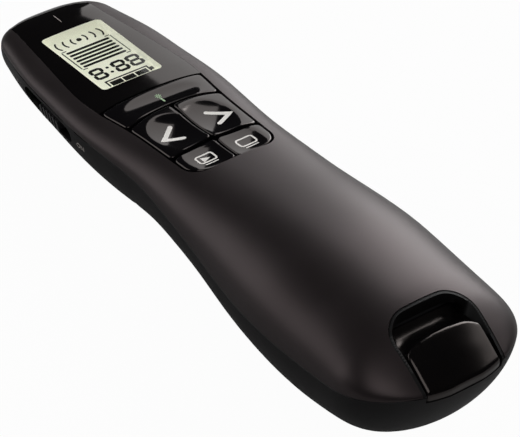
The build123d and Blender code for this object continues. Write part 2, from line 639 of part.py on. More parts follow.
def power_slider():
    carrier = box((-SLOT_HALF - SLIDER_TRAVEL - 0.2, SLOT_HALF + 0.2), (-CARRIER_TALL / 2, CARRIER_TALL / 2),
                  (CARRIER_FACE - CARRIER_WALL, CARRIER_FACE))
    tall = SLOT_TALL - 2 * SLIDE_GAP
    knob = Pos(KNOB_PLACE, 0) * prism(RectangleRounded(2 * KNOB_HALF, tall, 0.8), CARRIER_FACE, KNOB_PROUD)
    first = KNOB_PLACE - RIB_STEP * (KNOB_RIBS - 1) / 2
    for rib in range(KNOB_RIBS):
        place = first + rib * RIB_STEP
        knob -= box((place - RIB_WIDE / 2, place + RIB_WIDE / 2), (-tall, tall), (KNOB_PROUD - RIB_DEEP, 5))
    return flank(-1) * (carrier + knob)


def power_flag():
    return flank(-1) * box((FLAG_PLACE - FLAG_HALF, FLAG_PLACE + FLAG_HALF), (-FLAG_TALL / 2, FLAG_TALL / 2),
                           (CARRIER_FACE, CARRIER_FACE + FLAG_WALL))


def switch_lever():
    low = CARRIER_FACE - CARRIER_WALL
    half = LEVER_SIDE / 2
    return flank(-1) * box((-half, half), (-half, half), (low - LEVER_LONG, low))


def slide_switch():
    tall = (BOARD_TOP, BOARD_TOP + SLIDE_CASE_TALL)
    case = DECK * box(SLIDE_CASE_X, (SLIDE_CASE_REAR, SLIDE_CASE_FRONT), tall)
    low, reach = CARRIER_FACE - CARRIER_WALL, LEVER_SIDE / 2 + SLIDE_GAP
    slot = box((-reach, reach + SLIDER_TRAVEL), (-reach, reach), (low - LEVER_LONG - LEVER_CLEAR, 0))
    return case - flank(-1) * slot


def side_key_outline(grow=0.0):
    return SlotOverall(SIDE_KEY_LONG + 2 * grow, SIDE_KEY_TALL + 2 * grow)


def side_key(place):
    cap = prism(side_key_outline(), SIDE_FLANGE_TOP, SIDE_PROUD)
    low = SIDE_FLANGE_TOP - SIDE_FLANGE_WALL
    cap += prism(side_key_outline(SIDE_FLANGE_RIM), low, SIDE_FLANGE_TOP)
    return flank(1) * Pos(place, 0) * (cap + rod(SIDE_STEM_RADIUS, SIDE_STEM_LOW, low))


def side_plunger(place):
    return flank(1) * Pos(place, 0) * rod(SIDE_PLUNGER_RADIUS, SIDE_PLUNGER_LOW, SIDE_STEM_LOW)


def side_switch(place):
    half = SWITCH_SIDE / 2
    case = box((-half, half), (-half, half), (SIDE_CASE_LOW, SIDE_CASE_TOP))
    return flank(1) * Pos(place, 0) * (case - rod(SIDE_PLUNGER_RADIUS + PIN_GAP, SIDE_CASE_LOW + 0.3, 0))


def side_board():
    return flank(1) * box((-SIDE_BOARD_HALF, SIDE_BOARD_HALF), (-SIDE_BOARD_TALL / 2, SIDE_BOARD_TALL / 2),
                          (SIDE_CASE_LOW - SIDE_BOARD_WALL, SIDE_CASE_LOW))


# ---- laser -----------------------------------------------------------------------------------
def laser_barrel():
    barrel = rod_along(LASER_RADIUS, LASER_REAR, LASER_FRONT, 0, LASER_HIGH)
    return barrel - rod_along(LASER_BORE, LASER_REAR - 1, LASER_FRONT + 1, 0, LASER_HIGH)


def laser_lens():
    return rod_along(LASER_BORE - 0.01, LASER_FRONT - 0.6 - LENS_LONG, LASER_FRONT - 0.6, 0, LASER_HIGH)


def laser_diode():
    can = rod_along(DIODE_RADIUS, LASER_REAR, LASER_REAR + DIODE_LONG, 0, LASER_HIGH)
    return can + rod_along(LASER_RADIUS - 0.3, LASER_REAR - 1, LASER_REAR, 0, LASER_HIGH)


def laser_window():
    front = LENGTH / 2 - PORT_SET_BACK
    return rod_along(PORT_RADIUS, front - PORT_WALL, front, 0, LASER_HIGH)


# ---- batteries -------------------------------------------------------------------------------
def battery(side):
    """An AAA cell; the left one points forward and the right one back."""
    x = side * CELL_PITCH / 2
    long = CELL_LONG + NUB_LONG
    if side < 0:
        tip = BAY_FRONT - PLATE_WALL - SEAT
        body, nub = (tip - long, tip - NUB_LONG), (tip - NUB_LONG, tip)
    else:
        tip = BAY_REAR + PLATE_WALL + SEAT
        body, nub = (tip + NUB_LONG, tip + long), (tip, tip + NUB_LONG)
    return rod_along(CELL_RADIUS, *body, x, CELL_HIGH) + rod_along(NUB_RADIUS, *nub, x, CELL_HIGH)


def contact_spring(side):
    """The negative contact: a coil between the cell and its plate."""
    room = BAY_FRONT - BAY_REAR - 2 * PLATE_WALL - CELL_LONG - NUB_LONG - 3 * SEAT
    long = room - 2 * SPRING_WIRE - SEAT
    coil = Helix(long / SPRING_TURNS, long, SPRING_RADIUS, cone_angle=0)
    wire = sweep(Plane(coil @ 0, z_dir=coil % 0) * Circle(SPRING_WIRE), path=coil)
    x = side * CELL_PITCH / 2
    if side < 0:
        return Pos(x, BAY_REAR + PLATE_WALL + SPRING_WIRE + SEAT, CELL_HIGH) * Rot(-90, 0, 0) * wire
    return Pos(x, BAY_FRONT - PLATE_WALL - SPRING_WIRE - SEAT, CELL_HIGH) * Rot(90, 0, 0) * wire


def contact_plates():
    z = (CELL_HIGH - PLATE_HALF, CELL_HIGH + PLATE_HALF)
    rear = (BAY_REAR, BAY_REAR + PLATE_WALL)
    front = (BAY_FRONT - PLATE_WALL, BAY_FRONT)
    half = CELL_PITCH / 2
    reach = half + PLATE_HALF
    apart = half - PLATE_HALF
    return [box((-reach, -apart), rear, z), box((apart, reach), rear, z), box((-reach, reach), front, z)]


def battery_tray():
    half = CELL_PITCH / 2 + CELL_RADIUS + TRAY_SIDE_GAP
    top = CELL_HIGH + CELL_RADIUS + TRAY_TOP_GAP
    outer = half + TRAY_WALL
    tray = box((-outer, outer), (BAY_REAR - TRAY_WALL, BAY_FRONT + TRAY_WALL), (0, top + TRAY_WALL))
    tray -= box((-half, half), (BAY_REAR, BAY_FRONT), (-1, top))
    cradle_half = MOTOR_RADIUS + CRADLE_WALL
    tray += box((-cradle_half, cradle_half), (MOTOR_REAR + 1, MOTOR_FRONT - 1), (top, MOTOR_HIGH))
    tray -= rod_along(MOTOR_RADIUS + SEAT, MOTOR_REAR - 1, MOTOR_FRONT + 1, 0, MOTOR_HIGH)
    return tray & hull(WALL + LEDGE_WALL + 2 * SEAT)


def battery_door():
    door = (half_hull(-PART_GAP) & over_table() & door_well(door_outline(-DOOR_GAP))) - hull(DOOR_WALL)
    for groove in range(GRIP_GROOVES):
        y = DOOR_REAR + 2.5 + GROOVE_STEP * groove
        along = (y - GROOVE_WIDE / 2, y + GROOVE_WIDE / 2)
        door -= box((-GROOVE_HALF, GROOVE_HALF), along, (-5, belly_height(y) + 0.4))
    return door


def door_latch():
    y = (DOOR_REAR + 1.0, DOOR_REAR + 1.0 + LATCH_LONG)
    tab = box((-LATCH_HALF, LATCH_HALF), y, (0, belly_height(y[0]) + LATCH_TALL))
    return tab & hull(DOOR_WALL)


# ---- vibration motor -------------------------------------------------------------------------
def motor_can():
    can = rod_along(MOTOR_RADIUS, MOTOR_REAR, MOTOR_FRONT, 0, MOTOR_HIGH)
    return can - rod_along(SHAFT_RADIUS + PIN_GAP, MOTOR_REAR - 1, MOTOR_REAR + 2, 0, MOTOR_HIGH)


def motor_shaft():
    return rod_along(SHAFT_RADIUS, MOTOR_REAR - SHAFT_LONG, MOTOR_REAR + 1.9, 0, MOTOR_HIGH)


def motor_weight():
    rear, front = MOTOR_REAR - WEIGHT_GAP - WEIGHT_LONG, MOTOR_REAR - WEIGHT_GAP
    disc = rod_along(WEIGHT_RADIUS, rear, front, 0, MOTOR_HIGH)
    disc -= box((-5, 5), (rear - 1, front + 1), (MOTOR_HIGH + 0.9, MOTOR_HIGH + 5))
    return disc - rod_along(SHAFT_RADIUS, rear - 1, front + 1, 0, MOTOR_HIGH)


# ---- receiver and its bay --------------------------------------------------------------------
def recess_outline(grow=0.0):
    (front_half, front_y), (rear_half, rear_y) = RECESS
    corner_half = front_half + (front_half - rear_half) * (RECESS_FRONT - front_y) / (front_y - rear_y)
    right = [(corner_half + grow, RECESS_FRONT + grow), (rear_half + grow, rear_y)]
    face = make_face(Polyline(*right, *[(-x, y) for x, y in right[::-1]], close=True).edges())
    corners = [v for v in face.vertices() if abs(v.Y - RECESS_FRONT - grow) < 1e-6]
    return fillet(corners, RECESS_CORNER + grow)


def stick(rear, front, grow=0.0):
    """The receiver's body: a bar along Y with rounded long edges."""
    wide, tall = 2 * (STICK_HALF + grow), STICK_TOP - STICK_LOW + 2 * grow
    face = Plane.XZ * RectangleRounded(wide, tall, STICK_ROUND + grow)
    return Pos(0, front, (STICK_LOW + STICK_TOP) / 2) * extrude(face, front - rear)


def receiver_bay():
    floor = STICK_LOW - STICK_GAP - BAY_WALL
    plug_front = HOUSING_FRONT + PLUG_LONG
    wall = recess_outline(-SEAT) - recess_outline(-SEAT - BAY_WALL)
    bay = prism(wall, floor, FAR / 2) & hull(2 * SEAT)
    bay += prism(recess_outline(-SEAT), floor, floor + BAY_WALL - SEAT) & hull(WALL + SEAT)
    half = STICK_HALF + STICK_GAP + BAY_WALL
    sleeve = box((-half, half), (RECESS_FRONT - 3, plug_front + STICK_GAP + BAY_WALL),
                 (floor, STICK_TOP + STICK_GAP + BAY_WALL))
    sleeve -= prism(recess_outline(-SEAT - BAY_WALL), floor, FAR / 2)
    bay += sleeve & hull(WALL + SEAT)
    bay -= stick(-FAR, plug_front + STICK_GAP, STICK_GAP)
    return bay - lower_wall()


def receiver_cap():
    """The receiver's grip: it fills the recess up to the skin, but for a finger scoop at its front."""
    front = RECESS_FRONT - SEAT - BAY_WALL - STICK_GAP
    face = Pos(0, front - FAR / 2) * Rectangle(2 * CAP_HALF, FAR)
    outline = fillet([v for v in face.vertices() if abs(v.Y - front) < 1e-6], CAP_CORNER)
    cap = (prism(outline, STICK_LOW, FAR / 2) + stick(front - 2 * CAP_CORNER, CAP_FRONT)) & hull(CAP_SINK)
    hollow = STICK_TOP - SCOOP_DEEP + SCOOP_RADIUS
    return cap - Pos(0, SCOOP_PLACE, hollow) * Rot(0, 90, 0) * Cylinder(SCOOP_RADIUS, FAR)


def receiver_housing():
    room = stick(CAP_FRONT - 1, HOUSING_FRONT - HOUSING_WALL, -HOUSING_WALL)
    return stick(CAP_FRONT, HOUSING_FRONT) - room - plug_block(SEAT, HOUSING_FRONT - 3)


def plug_block(grow=0.0, rear=HOUSING_FRONT - 2, front=None):
    z = (STICK_LOW + STICK_TOP) / 2
    half, tall = PLUG_WIDE / 2 + grow, PLUG_TALL / 2 + grow
    return box((-half, half), (rear, front or HOUSING_FRONT + PLUG_LONG), (z - tall, z + tall))


def usb_shell():
    return plug_block() - plug_block(-PLUG_SHEET, HOUSING_FRONT - 3, HOUSING_FRONT + PLUG_LONG + 1)


def usb_tongue():
    z = (STICK_LOW + STICK_TOP - PLUG_TALL) / 2 + PLUG_SHEET
    half = TONGUE_WIDE / 2
    return box((-half, half), (HOUSING_FRONT - 2, HOUSING_FRONT + PLUG_LONG - 0.5), (z, z + TONGUE_TALL))


def usb_contacts():
    z = (STICK_LOW + STICK_TOP - PLUG_TALL) / 2 + PLUG_SHEET + TONGUE_TALL
    front = HOUSING_FRONT + PLUG_LONG - 1.5
    strips = []
    for place in (-1.5, -0.5, 0.5, 1.5):
        low, high = place * CONTACT_PITCH - CONTACT_WIDE / 2, place * CONTACT_PITCH + CONTACT_WIDE / 2
        strips.append(box((low, high), (front - CONTACT_LONG, front), (z, z + CONTACT_WALL)))
    return strips


def receiver_board():
    half = STICK_HALF - HOUSING_WALL - 0.5
    low = STICK_LOW + HOUSING_WALL + 0.2
    return box((-half, half), (CAP_FRONT + 0.3, HOUSING_FRONT - 2.2), (low, low + CHIP_BOARD_WALL))


# ---- screws ----------------------------------------------------------------------------------
def case_screws():
    screws = []
    for x, y in CASE_SCREWS:
        seat, top = screw_seat(x, y), boss_top(x, y)
        screw = rod(SCREW_HEAD_RADIUS, seat - SCREW_HEAD_TALL, seat, x, y)
        screw += rod(SCREW_RADIUS, seat, top + SCREW_GRIP - 0.5, x, y)
        screws += mirrored_pair(screw)
    return screws


def build():
    os.makedirs("parts", exist_ok=True)
    save("top_shell", top_shell())
    save("bottom_shell", bottom_shell())
    save("display_panel", display_panel())
    save("display_window", display_window())
    save("display_cell", display_cell())
    save("display_holder", display_holder())
    save("display_reflector", display_reflector())
    save("zebra_strip", zebra_strip())
    for name, outline in key_outlines().items():
        save(f"{name}_key", key(name, outline))
        save(f"{name}_plunger", plunger(*KEYS[name]))
    save("key_frame", key_frame())
    save("key_switches", *[key_switch(x, y) for x, y in KEYS.values()])
    save("main_board", main_board())
    save("board_screws", *[board_screw(x, y) for x, y in STANDOFFS])
    save("control_chip", chip(0, 19.4, 6, 6))
    save("radio_chip", chip(0, 11.2, 4, 4))
    save("crystal", chip(0, 6.6, 3.2, 1.5, 0.8))
    save("power_slider", power_slider())
    save("power_flag", power_flag())
    save("switch_lever", switch_lever())
    save("slide_switch", slide_switch())
    for name, place in SIDE_KEYS.items():
        save(f"{name}_key", side_key(place))
        save(f"{name}_plunger", side_plunger(place))
    save("side_switches", *[side_switch(place) for place in SIDE_KEYS.values()])
    save("side_board", side_board())
    save("laser_barrel", laser_barrel())
    save("laser_lens", laser_lens())
    save("laser_diode", laser_diode())
    save("laser_window", laser_window())
    save("left_battery", battery(-1))
    save("right_battery", battery(1))
    save("battery_springs", contact_spring(-1), contact_spring(1))
    save("contact_plates", *contact_plates())
    save("battery_tray", battery_tray())
    save("battery_door", battery_door())
    save("door_latch", door_latch())
    save("motor_can", motor_can())
    save("motor_shaft", motor_shaft())
    save("motor_weight", motor_weight())
    save("receiver_bay", receiver_bay())
    save("receiver_cap", receiver_cap())
    save("receiver_housing", receiver_housing())
    save("receiver_board", receiver_board())
    save("usb_shell", usb_shell())
    save("usb_tongue", usb_tongue())
    save("usb_contacts", *usb_contacts())
    save("case_screws", *case_screws())


if __name__ == "__main__":
    build()
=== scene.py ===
import math

import bmesh
import bpy
import numpy as np
from mathutils import Matrix, Vector
from mathutils.geometry import delaunay_2d_cdt


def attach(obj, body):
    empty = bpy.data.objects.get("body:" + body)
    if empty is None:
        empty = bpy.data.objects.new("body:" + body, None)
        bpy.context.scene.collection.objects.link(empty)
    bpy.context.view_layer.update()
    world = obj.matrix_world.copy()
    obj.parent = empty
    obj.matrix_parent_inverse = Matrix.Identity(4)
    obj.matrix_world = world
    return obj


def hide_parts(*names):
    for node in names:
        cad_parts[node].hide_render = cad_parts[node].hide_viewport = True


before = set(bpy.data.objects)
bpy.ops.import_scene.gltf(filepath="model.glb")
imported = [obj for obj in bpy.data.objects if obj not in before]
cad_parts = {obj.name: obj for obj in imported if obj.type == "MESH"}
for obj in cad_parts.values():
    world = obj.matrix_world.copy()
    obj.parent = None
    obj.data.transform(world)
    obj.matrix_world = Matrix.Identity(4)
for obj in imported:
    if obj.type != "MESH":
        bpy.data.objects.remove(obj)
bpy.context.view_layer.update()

# All the sizes below are in millimetres; MM turns them to Blender's metres.
MM = 0.001

# ---- form of the case ------------------------------------------------------------------------
LENGTH, WIDTH, HEIGHT = 130.0, 39.0, 29.5
FRONT_ROUND, FRONT_POWER = 7.0, 2.7  # how long the rounding of a tip is, and how square
TAIL_ROUND, TAIL_POWER = 13.5, 2.2
CROWN_FRONT, CROWN_TAIL, BELLY = 2.8, 2.0, 2.0  # how square the sections are over and under the parting line
# Place along half the length, half width, crown, belly and parting line, as shares.
STATIONS = np.array([
    (1.00, 0.620, 0.445, 0.040, 0.362),
    (0.90, 0.660, 0.466, 0.020, 0.376),
    (0.75, 0.760, 0.515, 0.002, 0.417),
    (0.60, 0.805, 0.564, -0.003, 0.451),
    (0.45, 0.838, 0.617, -0.012, 0.488),
    (0.30, 0.818, 0.678, -0.012, 0.520),
    (0.15, 0.797, 0.737, 0.044, 0.542),
    (0.00, 0.833, 0.795, 0.085, 0.544),
    (-0.15, 0.882, 0.861, 0.078, 0.539),
    (-0.30, 0.949, 0.929, 0.041, 0.539),
    (-0.45, 0.992, 0.981, 0.003, 0.556),
    (-0.60, 0.990, 0.997, -0.012, 0.583),
    (-0.75, 0.972, 0.998, 0.055, 0.632),
    (-0.90, 0.955, 0.920, 0.180, 0.712),
    (-1.00, 0.935, 0.822, 0.270, 0.765),
])
DECK_RISE, DECK_SLOPE = 23.45, math.radians(9.45)  # the deck plane's height at y = 0 and its fall forwards
FINE_COUNT = 1041  # places along the case where its curves are worked out
TIP_GAP = 0.05  # how far inside the two tips the last sections lie
LEAST_SHARE = 1e-4  # keeps the sections at the tips from shrinking to nothing
PROBE = 0.04  # half the step over which the skin's slope is taken
DECK_ROUNDS = 6  # rounds that bring a point of the deck onto the skin


def station_curve(column):
    """A column of STATIONS as a fine table over Y, through the same smooth curve as the case."""
    along = STATIONS[:, 0]
    values = STATIONS[:, column]
    slopes = np.empty(len(along))
    slopes[1:-1] = (values[2:] - values[:-2]) / (along[2:] - along[:-2])
    slopes[0] = (values[1] - values[0]) / (along[1] - along[0])
    slopes[-1] = (values[-1] - values[-2]) / (along[-1] - along[-2])
    fine = np.linspace(1, -1, FINE_COUNT)
    at = np.clip(np.searchsorted(-along, -fine, side="right") - 1, 0, len(along) - 2)
    gap = along[at + 1] - along[at]
    t = (fine - along[at]) / gap
    return ((2 * t**3 - 3 * t**2 + 1) * values[at] + (t**3 - 2 * t**2 + t) * slopes[at] * gap
            + (3 * t**2 - 2 * t**3) * values[at + 1] + (t**3 - t**2) * slopes[at + 1] * gap)


FINE_Y = np.linspace(LENGTH / 2, -LENGTH / 2, FINE_COUNT)[::-1]
FINE = [station_curve(column)[::-1] for column in (1, 2, 3, 4)]
FINE_SIZES = (WIDTH / 2, HEIGHT, HEIGHT, HEIGHT)


def section(y):
    """Half width, crown reach, belly reach, parting height and crown power of the case at y."""
    y = np.clip(y, TIP_GAP - LENGTH / 2, LENGTH / 2 - TIP_GAP)
    half, crown, belly, part = [np.interp(y, FINE_Y, row) * size for row, size in zip(FINE, FINE_SIZES)]
    share = np.ones_like(y)
    for out, reach, power in ((y, FRONT_ROUND, FRONT_POWER), (-y, TAIL_ROUND, TAIL_POWER)):
        into = np.clip((out - (LENGTH / 2 - reach)) / reach, 0, 1)
        share = np.minimum(share, np.maximum(1 - into**power, LEAST_SHARE) ** (1 / power))
    power = CROWN_TAIL + (CROWN_FRONT - CROWN_TAIL) * (y / LENGTH + 0.5)
    return half * share, (crown - part) * share, (part - belly) * share, part, power


def skin_level(points):
    """1 on the case's skin, less inside it and more outside."""
    half, up, down, part, crown = section(points[:, 1])
    rise = points[:, 2] - part
    reach = np.where(rise > 0, up, down)
    power = np.where(rise > 0, crown, BELLY)
    return (np.abs(points[:, 0] / half) ** power + np.abs(rise / reach) ** power) ** (1 / power)


def skin_normals(points):
    """The skin's outward directions at points near it, and how much its level rises there in 1 mm."""
    slopes = []
    for axis in range(3):
        shift = np.zeros(3)
        shift[axis] = PROBE
        slopes.append(skin_level(points + shift) - skin_level(points - shift))
    slopes = np.stack(slopes, 1)
    size = np.linalg.norm(slopes, axis=1, keepdims=True)
    return slopes / size, size[:, 0] / (2 * PROBE)


def crown_height(x, y):
    """Height of the upper skin over a place."""
    half, up, _, part, power = section(y)
    return part + up * np.maximum(1 - np.abs(x / half) ** power, 0) ** (1 / power)


def upright(x, y, z):
    """The part's own coordinates, for pieces that aren't set out on the deck."""
    return np.stack([x, y, z], 1)


def on_deck(x, along, depth):
    """Deck coordinates to the part's own: along runs up the sloping deck, depth out of it."""
    y = along * math.cos(DECK_SLOPE) + depth * math.sin(DECK_SLOPE)
    z = DECK_RISE - along * math.sin(DECK_SLOPE) + depth * math.cos(DECK_SLOPE)
    return upright(x, y, z)


def deck_skin(x, along):
    """How far the skin stands over the deck plane."""
    depth = np.zeros_like(x)
    for _ in range(DECK_ROUNDS):
        place = on_deck(x, along, depth)
        depth = depth + (crown_height(x, place[:, 1]) - place[:, 2]) / math.cos(DECK_SLOPE)
    return depth


# ---- making meshes ---------------------------------------------------------------------------
CASE_SHARP, BAY_SHARP, CAP_SHARP = 32, 35, 50  # edges that turn by more degrees stay sharp
SKIN_NEAR = 0.12  # a point this close to the skin is taken as lying on it
SKIN_TURN = 0.93  # cosine of the widest turn between a face and the skin it lies on


def finish_piece(name, mesh, body, material, node=None):
    """Hangs a finished mesh on its body, in place of a CAD node where one is named."""
    piece = bpy.data.objects.new(name, mesh)
    bpy.context.collection.objects.link(piece)
    mesh.materials.clear()
    mesh.materials.append(material)
    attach(piece, body)
    if node:
        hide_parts(node)


def weld(mesh, distance=1e-6):
    """Joins the points that lie at one place; the distance is in metres."""
    work = bmesh.new()
    work.from_mesh(mesh)
    bmesh.ops.remove_doubles(work, verts=work.verts, dist=distance)
    work.to_mesh(mesh)
    work.free()


def face_outwards(mesh):
    """Turns the faces of closed pieces to look outwards."""
    work = bmesh.new()
    work.from_mesh(mesh)
    bmesh.ops.recalc_face_normals(work, faces=work.faces)
    work.to_mesh(mesh)
    work.free()


def shade(mesh, sharp):
    """Smooth shading, except over edges that turn by more than sharp degrees."""
    mesh.shade_smooth()
    mesh.set_sharp_from_angle(angle=math.radians(sharp))


def shaded_copy(node, sharp):
    """A CAD node's mesh with its loose triangles joined and shaded."""
    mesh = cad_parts[node].data.copy()
    weld(mesh)
    shade(mesh, sharp)
    return mesh


def values_of(items, field, width=3, kind=float):
    """One field of all vertices, corners or faces, as the rows of an array."""
    values = np.empty(len(items) * width, dtype=kind)
    items.foreach_get(field, values)
    return values.reshape(-1, width)


def moulded_case(node, body, material):
    """A case node with the even shading of its moulded skin in place of its triangles'."""
    mesh = shaded_copy(node, CASE_SHARP)
    points = values_of(mesh.vertices, "co") / MM
    normals, rate = skin_normals(points)
    near = np.abs(skin_level(points) - 1) / rate < SKIN_NEAR
    corner_vertex = values_of(mesh.loops, "vertex_index", 1, int)[:, 0]
    corners = values_of(mesh.corner_normals, "vector")
    face_sizes = values_of(mesh.polygons, "loop_total", 1, int)[:, 0]
    own = np.repeat(values_of(mesh.polygons, "normal"), face_sizes, axis=0)
    wanted = normals[corner_vertex]
    use = near[corner_vertex] & ((own * wanted).sum(1) > SKIN_TURN)
    corners[use] = wanted[use]
    mesh.normals_split_custom_set([tuple(corner) for corner in corners])
    finish_piece(node + "_moulded", mesh, body, material, node)


def cut_lines(mesh, place, axes):
    """The short lines in which a plane cuts a mesh's faces, in the plane's own millimetres."""
    axes = np.array(axes, float)
    points = values_of(mesh.vertices, "co") / MM - np.array(place)
    flat = np.stack([points @ axes[0], points @ axes[1], points @ np.cross(axes[0], axes[1])], 1)
    lines = []
    for face in mesh.polygons:
        corners = flat[list(face.vertices)]
        crossings = []
        for here, there in zip(corners, np.roll(corners, -1, 0)):
            if (here[2] > 0) != (there[2] > 0):
                t = here[2] / (here[2] - there[2])
                crossings.append(tuple(np.round(here[:2] + t * (there[:2] - here[:2]), 3)))
        if len(crossings) == 2 and crossings[0] != crossings[1]:
            lines.append(crossings)
    return lines


def slice_loop(node, place, axes):
    """The longest outline where a plane cuts a CAD node, in the plane's own millimetres."""
    ends = {}
    for first, second in cut_lines(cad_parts[node].data, place, axes):
        ends.setdefault(first, []).append(second)
        ends.setdefault(second, []).append(first)
    loops = []
    while ends:
        start = next(iter(ends))
        loop = [start]
        here = start
        while ends.get(here):
            there = ends[here].pop()
            if here in ends.get(there, []):
                ends[there].remove(here)
            if not ends[here]:
                del ends[here]
            here = there
            loop.append(here)
        ends.pop(start, None)
        ends = {key: value for key, value in ends.items() if value}
        loops.append(np.array(loop))
    return max(loops, key=lambda loop: np.ptp(loop[:, 0]) + np.ptp(loop[:, 1]))


FEWEST_POINTS = 12  # of an evened outline


def even_loop(loop, step=0.22, rounds=3):
    """The same closed outline with points at an even spacing, slightly eased."""
    closed = np.vstack([loop, loop[:1]])
    run = np.concatenate([[0], np.cumsum(np.linalg.norm(np.diff(closed, axis=0), axis=1))])
    count = max(int(run[-1] / step), FEWEST_POINTS)
    at = np.linspace(0, run[-1], count, endpoint=False)
    even = np.stack([np.interp(at, run, closed[:, k]) for k in (0, 1)], 1)
    for _ in range(rounds):
        even = (np.roll(even, 1, 0) + 2 * even + np.roll(even, -1, 0)) / 4
    area = 0.5 * np.sum(even[:, 0] * np.roll(even[:, 1], -1) - np.roll(even[:, 0], -1) * even[:, 1])
    return even if area > 0 else even[::-1]


def drawn_in(loop, distance):
    """A counter-clockwise outline drawn in by a distance."""
    way = np.roll(loop, -1, 0) - np.roll(loop, 1, 0)
    way = way / np.linalg.norm(way, axis=1, keepdims=True)
    return loop + distance * np.stack([-way[:, 1], way[:, 0]], 1)


def inside(loop, points):
    """Which points lie inside a closed outline."""
    result = np.zeros(len(points), dtype=bool)
    for (x0, y0), (x1, y1) in zip(loop, np.roll(loop, -1, 0)):
        cross = (y0 > points[:, 1]) != (y1 > points[:, 1])
        with np.errstate(divide="ignore", invalid="ignore"):
            result ^= cross & (points[:, 0] < (x1 - x0) * (points[:, 1] - y0) / (y1 - y0) + x0)
    return result


INSIDE_ONLY, ONE_PLACE = 1, 1e-7  # the filling stays inside the outline; points this near are one


def filled(loop, spacing):
    """Triangles over an outline, with evenly spread points inside it."""
    low, high = loop.min(0), loop.max(0)
    across, along = [np.arange(low[k], high[k], spacing) for k in (0, 1)]
    grid = np.stack(np.meshgrid(across, along), -1).reshape(-1, 2)
    grid = grid[inside(drawn_in(loop, spacing * 0.6), grid)]
    points = [Vector(point) for point in np.vstack([loop, grid])]
    edges = [(k, (k + 1) % len(loop)) for k in range(len(loop))]
    flat, _, faces, *_ = delaunay_2d_cdt(points, edges, [], INSIDE_ONLY, ONE_PLACE)
    return np.array([tuple(point) for point in flat]), faces


def ring_faces(here, there, count):
    """Four-sided faces between two rings of count points, given by each ring's first point."""
    return [(here + k, here + (k + 1) % count, there + (k + 1) % count, there + k) for k in range(count)]


def mesh_in_mm(name, rows, faces):
    """A mesh from rows of points in millimetres."""
    mesh = bpy.data.meshes.new(name)
    mesh.from_pydata((np.vstack(rows) * MM).tolist(), [], faces)
    return mesh


def moulded_cap(loop, top, low, place, edge, spacing=0.5, edge_rings=5):
    """A closed solid over an outline: an upright wall, a rounded edge and a surface of any height."""
    rings = [(loop, np.full(len(loop), low))]
    for step in range(edge_rings + 1):
        turn = math.pi / 2 * step / edge_rings
        outline = drawn_in(loop, edge * (1 - math.cos(turn)))
        rings.append((outline, top(*outline.T) - edge * (1 - math.sin(turn))))
    count = len(loop)
    rows = [place(*outline.T, depth) for outline, depth in rings]
    faces = []
    for step in range(len(rings) - 1):
        faces += ring_faces(step * count, (step + 1) * count, count)
    flat, inner = filled(rings[-1][0], spacing)
    start = len(rings) * count
    rows.append(place(*flat.T, top(*flat.T)))
    faces += [tuple(start + k for k in face) for face in inner]
    faces.append(tuple(reversed(range(count))))
    mesh = mesh_in_mm("cap", rows, faces)
    weld(mesh, distance=2e-6)
    shade(mesh, CAP_SHARP)
    return mesh


def inlay_mesh(outlines, top, place, lift=0.02, sink=0.05, spacing=0.35, even=0.15):
    """Printed figures: thin closed plates that follow the surface under them."""
    rows, faces = [], []
    start = 0
    for outline in outlines:
        loop = even_loop(np.array(outline, float), even, 0)
        flat, inner = filled(loop, spacing)
        for points in (flat, loop):
            height = top(*points.T)
            rows += [place(*points.T, height + lift), place(*points.T, height - sink)]
        faces += [tuple(start + k for k in face) for face in inner]
        faces += [tuple(start + len(flat) + k for k in reversed(face)) for face in inner]
        upper = start + 2 * len(flat)
        lower = upper + len(loop)
        faces += ring_faces(lower, upper, len(loop))
        start = lower + len(loop)
    mesh = mesh_in_mm("inlay", rows, faces)
    weld(mesh)
    face_outwards(mesh)
    return mesh


TIP_POINTS = 7  # of a line's round end
CORNER_POINTS = 7  # of a bar's round corner
ARC_POINTS, DISC_POINTS = 13, 28


def stroke(points, wide, ends=True):
    """The outline of a line of one width, with mitred corners and round or square ends."""
    points = np.array(points, float)
    legs = np.diff(points, axis=0)
    legs = legs / np.linalg.norm(legs, axis=1, keepdims=True)
    way = np.vstack([legs[:1], legs[:-1] + legs[1:], legs[-1:]])
    way = way / np.linalg.norm(way, axis=1, keepdims=True)
    lean = (way * np.vstack([legs[:1], legs])).sum(1, keepdims=True)
    side = np.stack([-way[:, 1], way[:, 0]], 1) * wide / 2 / lean
    turns = np.linspace(math.pi / 2, -math.pi / 2, TIP_POINTS)[1:-1] if ends else []
    tip = [points[-1] + math.cos(t) * way[-1] * wide / 2 + math.sin(t) * side[-1] for t in turns]
    tail = [points[0] - math.cos(t) * way[0] * wide / 2 - math.sin(t) * side[0] for t in turns]
    return np.array([*(points + side), *tip, *(points - side)[::-1], *tail])


def bar(x0, x1, y0, y1, radius=0.0):
    """The outline of a bar with square or round corners."""
    if radius <= 0:
        return [(x0, y0), (x1, y0), (x1, y1), (x0, y1)]
    outline = []
    for cx, cy, first in ((x1 - radius, y1 - radius, 0), (x0 + radius, y1 - radius, 90),
                          (x0 + radius, y0 + radius, 180), (x1 - radius, y0 + radius, 270)):
        for step in range(CORNER_POINTS):
            turn = math.radians(first + 90 * step / (CORNER_POINTS - 1))
            outline.append((cx + radius * math.cos(turn), cy + radius * math.sin(turn)))
    return outline


def ring(x0, x1, y0, y1, radius, wide):
    """A rounded rectangle drawn with one line, as two halves that meet."""
    outline = np.roll(np.array(bar(x0, x1, y0, y1, radius)), CORNER_POINTS, 0)
    top = np.array([((x0 + x1) / 2, y1)])
    foot = np.array([((x0 + x1) / 2, y0)])
    right = np.vstack([foot, outline[:2 * CORNER_POINTS], top])
    left = np.vstack([top, outline[2 * CORNER_POINTS:], foot])
    return [stroke(half, wide, False) for half in (right, left)]


